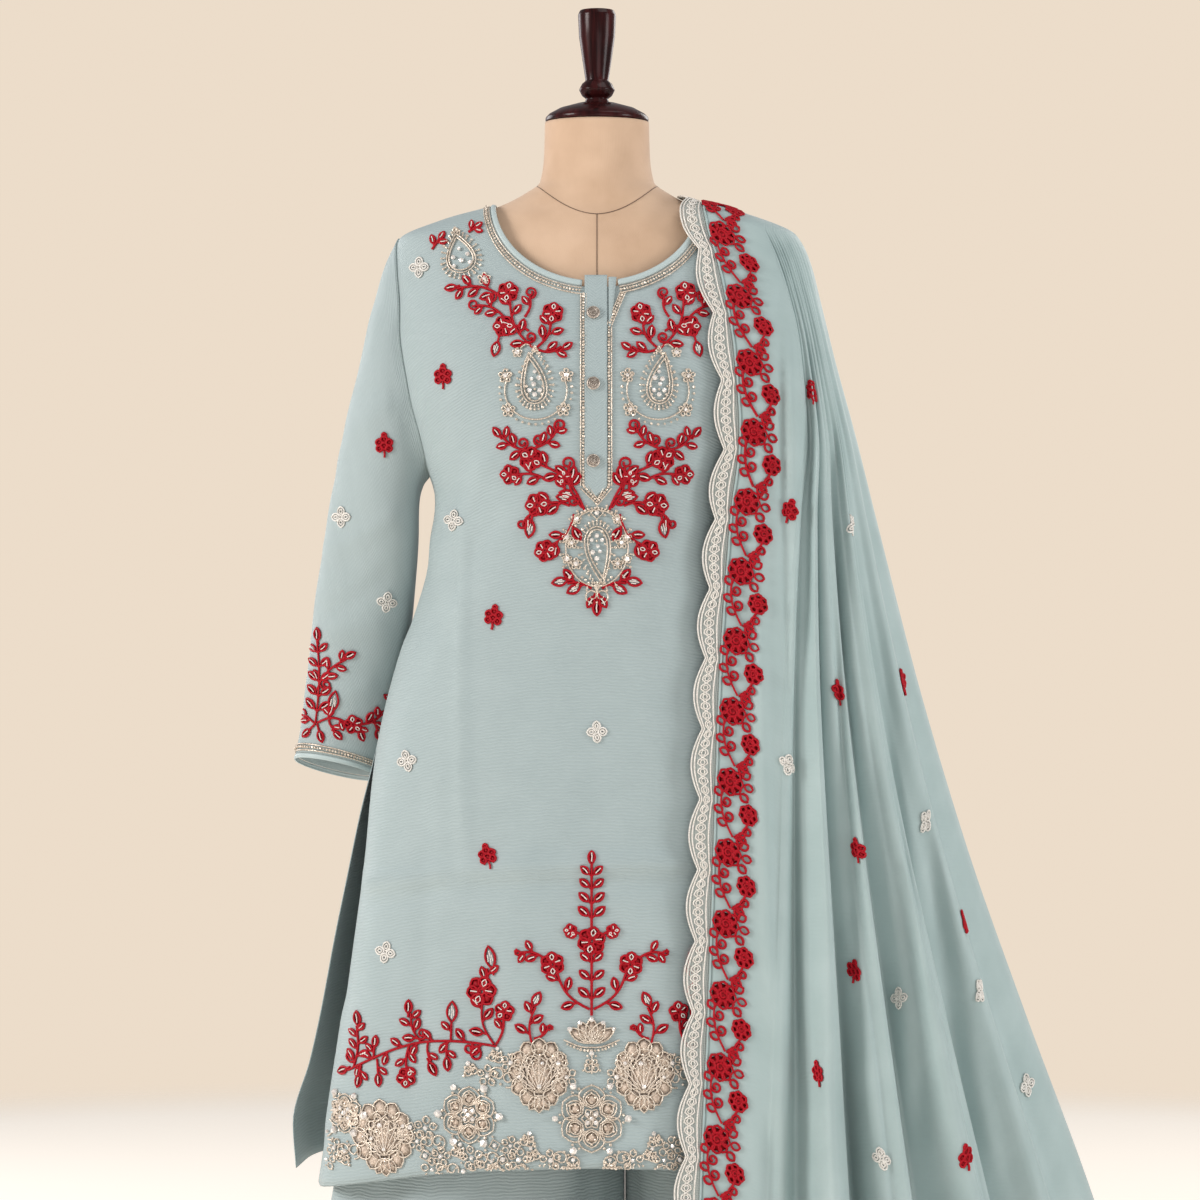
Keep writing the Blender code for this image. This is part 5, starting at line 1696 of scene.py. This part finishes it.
def make_trim(name, pair, laid_on, step=3.1):
    """Two thin cords with beads between them, along a pair of lines."""
    cords, edges = [], []
    for line in pair:
        laid = laid_on(line, 1.4)
        edges += chained(len(laid), len(cords))
        cords += laid
    middle = (pair[0] + pair[1]) / 2
    along = running(middle[None], 1)[0]
    at = np.arange(step / 2, along[-1], step)
    beads = laid_on(stack(*(np.interp(at, along, middle[:, axis]) for axis in range(3))), 1.9)
    add(grown(name + "_cords", cords, edges, CORD_TREE, Radius=0.75 * MM, Sides=5, Finish=WIRE), "silver_metal")
    add(grown(name + "_beads", beads, [], BEAD_TREE, Radius=1.5 * MM, Finish=WIRE), "silver_metal")


def make_button(number, height):
    """A turned button in its place on the placket, with a coiled wire on its face, coloured dark as painted shade in
    its spiral groove.
    """
    off = CLOTH + SEAT + PLACKET_EASE
    above, below = (front_at(np.float64(BUTTON_X), np.float64(height + reach), off)
                    for reach in (BUTTON_REACH, -BUTTON_REACH))
    up = Vector(above - below).normalized()
    out = up.cross(Vector((1, 0, 0))).normalized()
    if out.y > 0:
        out = -out
    home = Vector(front_at(np.float64(BUTTON_X), np.float64(height), off + CLOTH / 2 + BUTTON_LIFT)) * MM
    frame_turn = out.to_track_quat("Z", "Y").to_matrix().to_4x4()
    frame_turn.translation = home
    button = turned(f"button_{number}_silver", BUTTON, SILVER, 40, 0.3)
    settled(button).data.transform(frame_turn)
    add(button, "silver_metal", f"button_{number}")
    t = np.linspace(0, 1, 60)
    angle = math.tau * 3.2 * t
    reach = 5.4 * (1 - 0.92 * t)
    rise = np.interp(reach, [row.radius for row in BUTTON[:4]], [row.height for row in BUTTON[:4]]) + 0.15
    wire = [frame_turn @ (Vector((r * math.cos(a), r * math.sin(a), h)) * MM) for r, a, h in zip(reach, angle, rise)]
    # The coil takes a dark finish: painted shade in the button's spiral groove.
    wound = grown(f"button_{number}_coil", wire, chained(len(wire)), CORD_TREE, Radius=0.32 * MM, Sides=4,
                  Finish=GROOVE_SHADE)
    add(wound, "silver_metal")


# ---- Studio ----


def make_camera():
    data = bpy.data.cameras.new("Camera")
    data.sensor_width = 36
    data.lens = 114
    camera = bpy.data.objects.new("Camera", data)
    camera.location = (0.003, -3.8, 1.027)
    camera.rotation_euler = (math.radians(90), 0, 0)
    bpy.context.scene.collection.objects.link(camera)
    bpy.context.scene.camera = camera


def area_light(name, place, aim, size, power, colour):
    data = bpy.data.lights.new(name, "AREA")
    data.shape = "RECTANGLE"
    data.size, data.size_y = size
    data.energy = power
    data.color = colour
    lamp = bpy.data.objects.new(name, data)
    lamp.location = place
    lamp.rotation_euler = (Vector(aim) - Vector(place)).to_track_quat("-Z", "Y").to_euler()
    bpy.context.scene.collection.objects.link(lamp)


def make_studio():
    """A pale floor that fades into a warm pale room, and soft lights all round."""
    bpy.context.scene.view_settings.view_transform = "Standard"
    world = bpy.data.worlds.new("Studio")
    world.use_nodes = True
    tree = world.node_tree
    seen, lit = tree.nodes["Background"], tree.nodes.new("ShaderNodeBackground")
    seen.inputs["Color"].default_value = (*ROOM, 1)
    lit.inputs["Color"].default_value = (*AMBIENT, 1)
    mixed = tree.nodes.new("ShaderNodeMixShader")
    path = tree.nodes.new("ShaderNodeLightPath")
    join(tree, path.outputs["Is Camera Ray"], mixed.inputs[0])
    join(tree, lit.outputs[0], mixed.inputs[1])
    join(tree, seen.outputs[0], mixed.inputs[2])
    join(tree, mixed.outputs[0], tree.nodes["World Output"].inputs["Surface"])
    bpy.context.scene.world = world
    mesh = bpy.data.meshes.new("floor")
    shape = bmesh.new()
    bmesh.ops.create_circle(shape, cap_ends=True, segments=96, radius=FLOOR_EDGE + 0.2)
    shape.to_mesh(mesh)
    shape.free()
    made, tree, shader = new_material("Pale floor", FLOOR, 0.9, Specular_IOR_Level=0.1,
                                      Emission_Color=(*FLOOR, 1), Emission_Strength=0.2)
    place = node(tree, "TexCoord")
    far = node(tree, "VectorMath", {0: place.outputs["Object"]}, operation="LENGTH")
    fade = node(tree, "MapRange", {"Value": far.outputs["Value"], "From Min": FLOOR_EDGE - 0.6,
                                   "From Max": FLOOR_EDGE, "To Min": 1.0, "To Max": 0.0},
                interpolation_type="SMOOTHSTEP")
    join(tree, fade.outputs[0], shader.inputs["Alpha"])
    floor = new_object("floor", mesh, made)
    floor.location = (0, 0, -0.0005)
    area_light("Key", (-3.9, -1.9, 2.5), (0, 0, 1.0), (1.6, 1.6), KEY_POWER, (1.0, 0.98, 0.96))
    area_light("Top", (0.9, -0.7, 3.3), (0, 0, 1.2), (1.6, 1.2), TOP_POWER, (1.0, 0.99, 0.97))
    area_light("Side", (3.6, -1.5, 1.3), (0, 0, 1.0), (1.2, 1.8), SIDE_POWER, (0.98, 0.99, 1.0))
    area_light("Fill", (0.9, -3.7, 0.8), (0, 0, 0.8), (2.0, 1.4), FILL_POWER, (0.98, 0.99, 1.0))
    area_light("Back left", (2.2, 3.2, 2.6), (0, 0, 1.0), (1.8, 1.8), BACK_POWER, (1.0, 0.98, 0.95))
    area_light("Back right", (-2.6, 2.6, 2.0), (0, 0, 1.0), (1.8, 1.8), BACK_POWER, (0.97, 0.98, 1.0))


ROOM = (0.84, 0.72, 0.59)
AMBIENT = (0.345, 0.34, 0.345)
FLOOR = (1.0, 0.93, 0.84)
FLOOR_EDGE = 4.4
KEY_POWER = 142
FILL_POWER = 16
TOP_POWER = 15
SIDE_POWER = 50
BACK_POWER = 40

# ---- The suit ----

make_camera()
make_studio()

# Crepe tones: the dark one is partly painted shade in the crinkle's troughs and partly cloudy tone.
CREPE = crepe("Aqua crepe", (0.325, 0.395, 0.40), (0.405, 0.48, 0.485))
CREPE_TRIM = crepe("Aqua satin piping", (0.42, 0.50, 0.50), (0.50, 0.59, 0.59), 0.15, 0.45, 0.003)
CHIFFON = chiffon("Aqua chiffon", (0.33, 0.425, 0.42), (0.41, 0.505, 0.50))
NET = net("Net lace", (0.36, 0.40, 0.38), (0.50, 0.53, 0.50))
JERSEY = knit("Beige jersey", (0.54, 0.36, 0.235), (0.66, 0.46, 0.315))
WOOD = wood("Glossy mahogany", (0.010, 0.002, 0.002), (0.050, 0.008, 0.008))

ROOT = "root"


def add(obj, slot, *nodes):
    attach(obj, ROOT)
    if nodes:
        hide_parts(*nodes)
    return obj


front = add(make_panel(FRONT, FRONT_CREASES, CREPE), "kurta_crepe", "kurta_front")
back = add(make_panel(BACK, BACK_CREASES, CREPE), "kurta_crepe", "kurta_back")
piping = add(make_binding(CREPE_TRIM), "kurta_crepe", "neck_binding")
band, fold = make_placket(CREPE)
add(band, "kurta_crepe", "placket_band")
add(fold, "kurta_crepe", "placket_flap")
sleeves, cuffs = {}, {}
for name, side, tuck in (("right", -1, 0), ("left", 1, TUCK)):
    sleeves[name], cuffs[name] = make_sleeve(name, side, tuck, CREPE, CREPE_TRIM)
    add(sleeves[name], "kurta_crepe", f"sleeve_{name}")
    add(cuffs[name], "kurta_crepe", f"cuff_binding_{name}")
for name, side, split in (("right", -1, LEG_SPLIT_RIGHT), ("left", 1, LEG_SPLIT_LEFT)):
    add(make_leg(name, side, split, CREPE), "kurta_crepe", f"trouser_{name}")
heights = np.linspace(WAISTBAND_BOTTOM, WAISTBAND_TOP, 7)[:, None]
turns = np.linspace(0, 360, 121)[None, :]
waist = cloth("waistband_cloth", [form_point(heights + 0 * turns, turns + 0 * heights, WAISTBAND_OFF)], CREPE, 2.4,
              closed=True)
add(waist, "kurta_crepe", "waistband")

fall_points = [fall_grid(fall) for fall in FALLS]
dupatta = add(cloth("dupatta_cloth", fall_points, CHIFFON, 0.7), "dupatta_chiffon", "dupatta_front", "dupatta_back")
edge_line, edge_even = lace_edge(fall_points)
across = [lace_points(edge_line, edge_even, share) for share in np.linspace(0, 1, 7)]
lace = add(cloth("dupatta_lace_net", [np.stack(across, axis=1)], NET, 0.4), "net_lace", "dupatta_lace")

add(make_form(JERSEY), "jersey", "form_body")
add(turned("form_cap_wood", CAP, WOOD), "dark_wood", "form_cap")
add(turned("form_finial_wood", FINIAL, WOOD, round_by=0.8), "dark_wood", "form_finial")
add(turned("form_base_wood", BASE, WOOD, 96), "dark_wood", "form_base")
pole_top, pole_foot = FORM_RINGS[0].height - 0.3, BASE[0].height + 0.3
pole = table_of(Turn, (0, pole_top), (POLE_RADIUS, pole_top), (POLE_RADIUS, pole_foot), (0, pole_foot))
add(turned("form_pole_wood", pole, WOOD), "dark_wood", "form_pole")

# ---- What is sewn on the suit ----

RED = thread("Red couched cord", (0.28, 0.0008, 0.006), (0.50, 0.0014, 0.014), 0.6, 900.0, 0.0)
PAD_RED = thread("Red filling stitch", (0.20, 0.0005, 0.004), (0.38, 0.001, 0.010), 0.6, 700.0, 0.0)
WHITE = thread("Pale filling thread", (0.60, 0.55, 0.50), (0.90, 0.85, 0.80))
IVORY = thread("Ivory cord", (0.60, 0.57, 0.52), (0.88, 0.85, 0.80))
LACE_CORD = thread("Lace cord", (0.64, 0.60, 0.54), (0.88, 0.84, 0.78))
SATIN = thread("Champagne satin stitch", (0.46, 0.36, 0.285), (0.78, 0.645, 0.53), 0.45, 500.0)
SATIN_RIB = thread("Champagne rib thread", (0.62, 0.51, 0.42), (0.90, 0.79, 0.68), 0.45)
SEAM = thread("Dark seam thread", (0.10, 0.06, 0.04), (0.16, 0.10, 0.07))
# The armhole seam: the cord is real, and its darker aqua is painted shade in the join of sleeve and body.
SEAM_SHADE_AQUA = thread("Aqua seam with painted shade", (0.24, 0.30, 0.295), (0.33, 0.40, 0.40))
SILVER = metal("Antique silver", (0.30, 0.24, 0.20), (0.68, 0.60, 0.52), 0.36, 700.0, 0.6)
WIRE = metal("Silver wire", (0.42, 0.34, 0.265), (0.88, 0.77, 0.65), 0.34, 700.0, 0.45)
STONE = metal("Cut stones", (0.66, 0.60, 0.55), (0.95, 0.91, 0.87), 0.14, 420.0, 0.3)
# A dark finish for the button's coil: painted shade in its spiral groove.
GROOVE_SHADE = metal("Painted groove shade", (0.10, 0.08, 0.06), (0.20, 0.16, 0.13), 0.5, 700.0, 0.6)
FINISHES = {"red": RED, "red pad": PAD_RED, "white": WHITE, "ivory": IVORY, "lace": LACE_CORD, "wire": WIRE,
            "satin": SATIN_RIB, "satin pad": SATIN, "bead": WIRE, "stone": STONE, "pearl": STONE, "hem roll": CHIFFON}

on_front = surface_of(front)
on_back = surface_of(back)
panels = surface_of(front, back)


def clear_of_drape(x, z):
    """Whether a place on the kurta's front lies free of the dupatta and its lace."""
    return x < row_at(DRAPE_FRONT, np.float64(min(z, DUPATTA_TOP))).edge - LACE_WIDTH + 8


yoke = on_both_sides(sprays(YOKE_SPRAYS) + sewn(YOKE_SILVER) + crescent(-59, 1230, 35, 33))
yoke += medallion_ring(0, 1077, 30, 37) + sewn(MEDALLION) + on_both_sides(sprays(MEDALLION_SPRAYS))
for line in (((-24, 1107), (0, 1116), (24, 1107)), ((-14, 1049), (0, 1039), (14, 1049))):
    yoke += beaded(line)
make_stitching("yoke", yoke, lay_on(on_front, -1, clear_of_drape), "kurta_crepe")

one_side = sprays(TREE_SPRAYS + VINE_SPRAYS) + sewn(HEM_SILVER) + silver_filling(HEM_SILVER + HEM_MIDDLE)
hem = on_both_sides(one_side, TRUNK) + sprays(TREE_TRUNK) + sewn(HEM_MIDDLE)
make_stitching("hem", hem, lay_on(on_front, -1, clear_of_drape), "kurta_crepe")

small = scattered(KURTA_RED, red_buti) + scattered(KURTA_WHITE, white_buti)
make_stitching("front_sprigs", small, lay_on(on_front, -1), "kurta_crepe")
spots = [(x + 40 * (row % 2), 1240 - 118 * row) for row in range(7) for x in (-165, -85, -5, 75)]
small = scattered(spots[::2], red_buti) + scattered(spots[1::2], white_buti)
make_stitching("back_sprigs", small, lay_on(on_back, 1, lambda x, z: x < 96), "kurta_crepe")

on_sleeve = surface_of(sleeves["right"])
above_cuff = sprays(CUFF_SPRAYS) + scattered(SLEEVE_RED, red_buti) + scattered(SLEEVE_WHITE, white_buti)
make_stitching("sleeve_front", above_cuff, lay_on(on_sleeve, -1), "kurta_crepe")
make_stitching("sleeve_back", above_cuff, lay_on(on_sleeve, 1), "kurta_crepe")

for (name, sign, lower), grid in zip((("front", -1, 0), ("back", 1, 46)), fall_points):
    reds, whites = ([(x, z - lower) for x, z in spots] for spots in (FALL_RED, FALL_WHITE))
    small = scattered(reds, red_buti) + scattered(whites, white_buti)
    make_stitching(f"dupatta_{name}_sprigs", small, lay_in_folds(grid, sign, reds + whites), "dupatta_chiffon")
lay_border, border_length = lay_along(fall_points)
repeats = int(border_length / SCALLOP)
half = repeats // 2
for name, first, count in (("front", 0, half), ("back", half, repeats - half)):
    strokes = border_strokes(count, SCALLOP * (first + count) + 20)
    make_stitching(f"border_{name}", strokes, lay_border, "dupatta_chiffon")
make_stitching("lace", lace_strokes(edge_even[-1]), lay_lace(edge_line, edge_even), "net_lace")

make_trim("neck_trim", (neck_line(-1.4), neck_line(-6.2)), near(panels))
rise = np.linspace(0, 1, 70)
for name, inner, outer, top, foot in (("right", -15.6, -10.4, 1325, 1137), ("left", 14.2, 9.2, 1292, 1137)):
    lines = [front_at(x + 0 * rise, foot + (top - foot) * rise, 0.0) for x in (inner, outer)]
    make_trim(f"placket_{name}_trim", lines, near(on_front))
slant = np.linspace(0, 1, 14)
lines = [front_at(x - 14 * slant, 1327 - 34 * slant, 0.0) for x in (28.0, 23.2)]
make_trim("placket_slant_trim", lines, near(on_front))
for name, start in (("right", -15.6), ("left", 14.2)):
    lines = [front_at(start * share + (0.8 - start * share) * slant, 1137 - 16 * slant + shift, 0.0)
             for share, shift in ((1.0, -2.0), (0.66, 3.0))]
    make_trim(f"placket_{name}_point_trim", lines, near(on_front))
for name, side, tuck in (("right", -1, 0), ("left", 1, TUCK)):
    around = np.linspace(0, 1, 90)
    lines = [sleeve_point(along + 0 * around, around, tuck) * (side, 1, 1) for along in (99.6, 98.6)]
    make_trim(f"cuff_{name}_trim", lines, off_ring)
    starts = sleeve_point(0 * around, around, tuck) * (side, 1, 1)
    ends = near(panels)(starts, 0.0)
    loop_line = [(Vector(start * MM) + end) / 2 for start, end in zip(starts, ends)]
    # A cord over the gap where the sleeve meets the body, darker than the cloth as painted shade in the join.
    seam = grown(f"sleeve_{name}_seam", loop_line, chained(len(loop_line)), CORD_TREE, Radius=1.25 * MM, Sides=6,
                 Finish=SEAM_SHADE_AQUA)
    add(seam, "kurta_crepe")
for number, height in enumerate(BUTTON_HEIGHTS, 1):
    make_button(number, height)

# The form's seams: round the base of its neck, and down the middle of its front and its back.
NECK_CORNER = 1440
FRONT_DIP = 33
BACK_RISE = 6
reach = np.linspace(-1, 1, 81)
height = NECK_CORNER - FRONT_DIP * (1 - np.abs(reach) ** 1.87)
width = row_at(FORM_RINGS, NECK_CORNER).half_width
turn = np.degrees(np.arcsin(reach * width / row_at(FORM_RINGS, height).half_width))
behind = np.linspace(90, 270, 61)
middle = np.linspace(NECK_CORNER - FRONT_DIP, 1330, 26)
back_middle = np.linspace(NECK_CORNER + BACK_RISE, 1358, 26)
seams = [form_point(height, turn, 0.25),
         form_point(NECK_CORNER - BACK_RISE * np.cos(np.radians(behind)), behind, 0.25),
         form_point(middle, 0 * middle, 0.25), form_point(back_middle, 0 * middle + 180, 0.25)]
points = [Vector(place * MM) for line in seams for place in line]
starts = np.cumsum([0] + [len(line) for line in seams])
edges = [edge for low, high in zip(starts, starts[1:]) for edge in chained(high - low, low)]
add(grown("form_seams", points, edges, CORD_TREE, Radius=0.42 * MM, Sides=4, Finish=SEAM), "jersey")
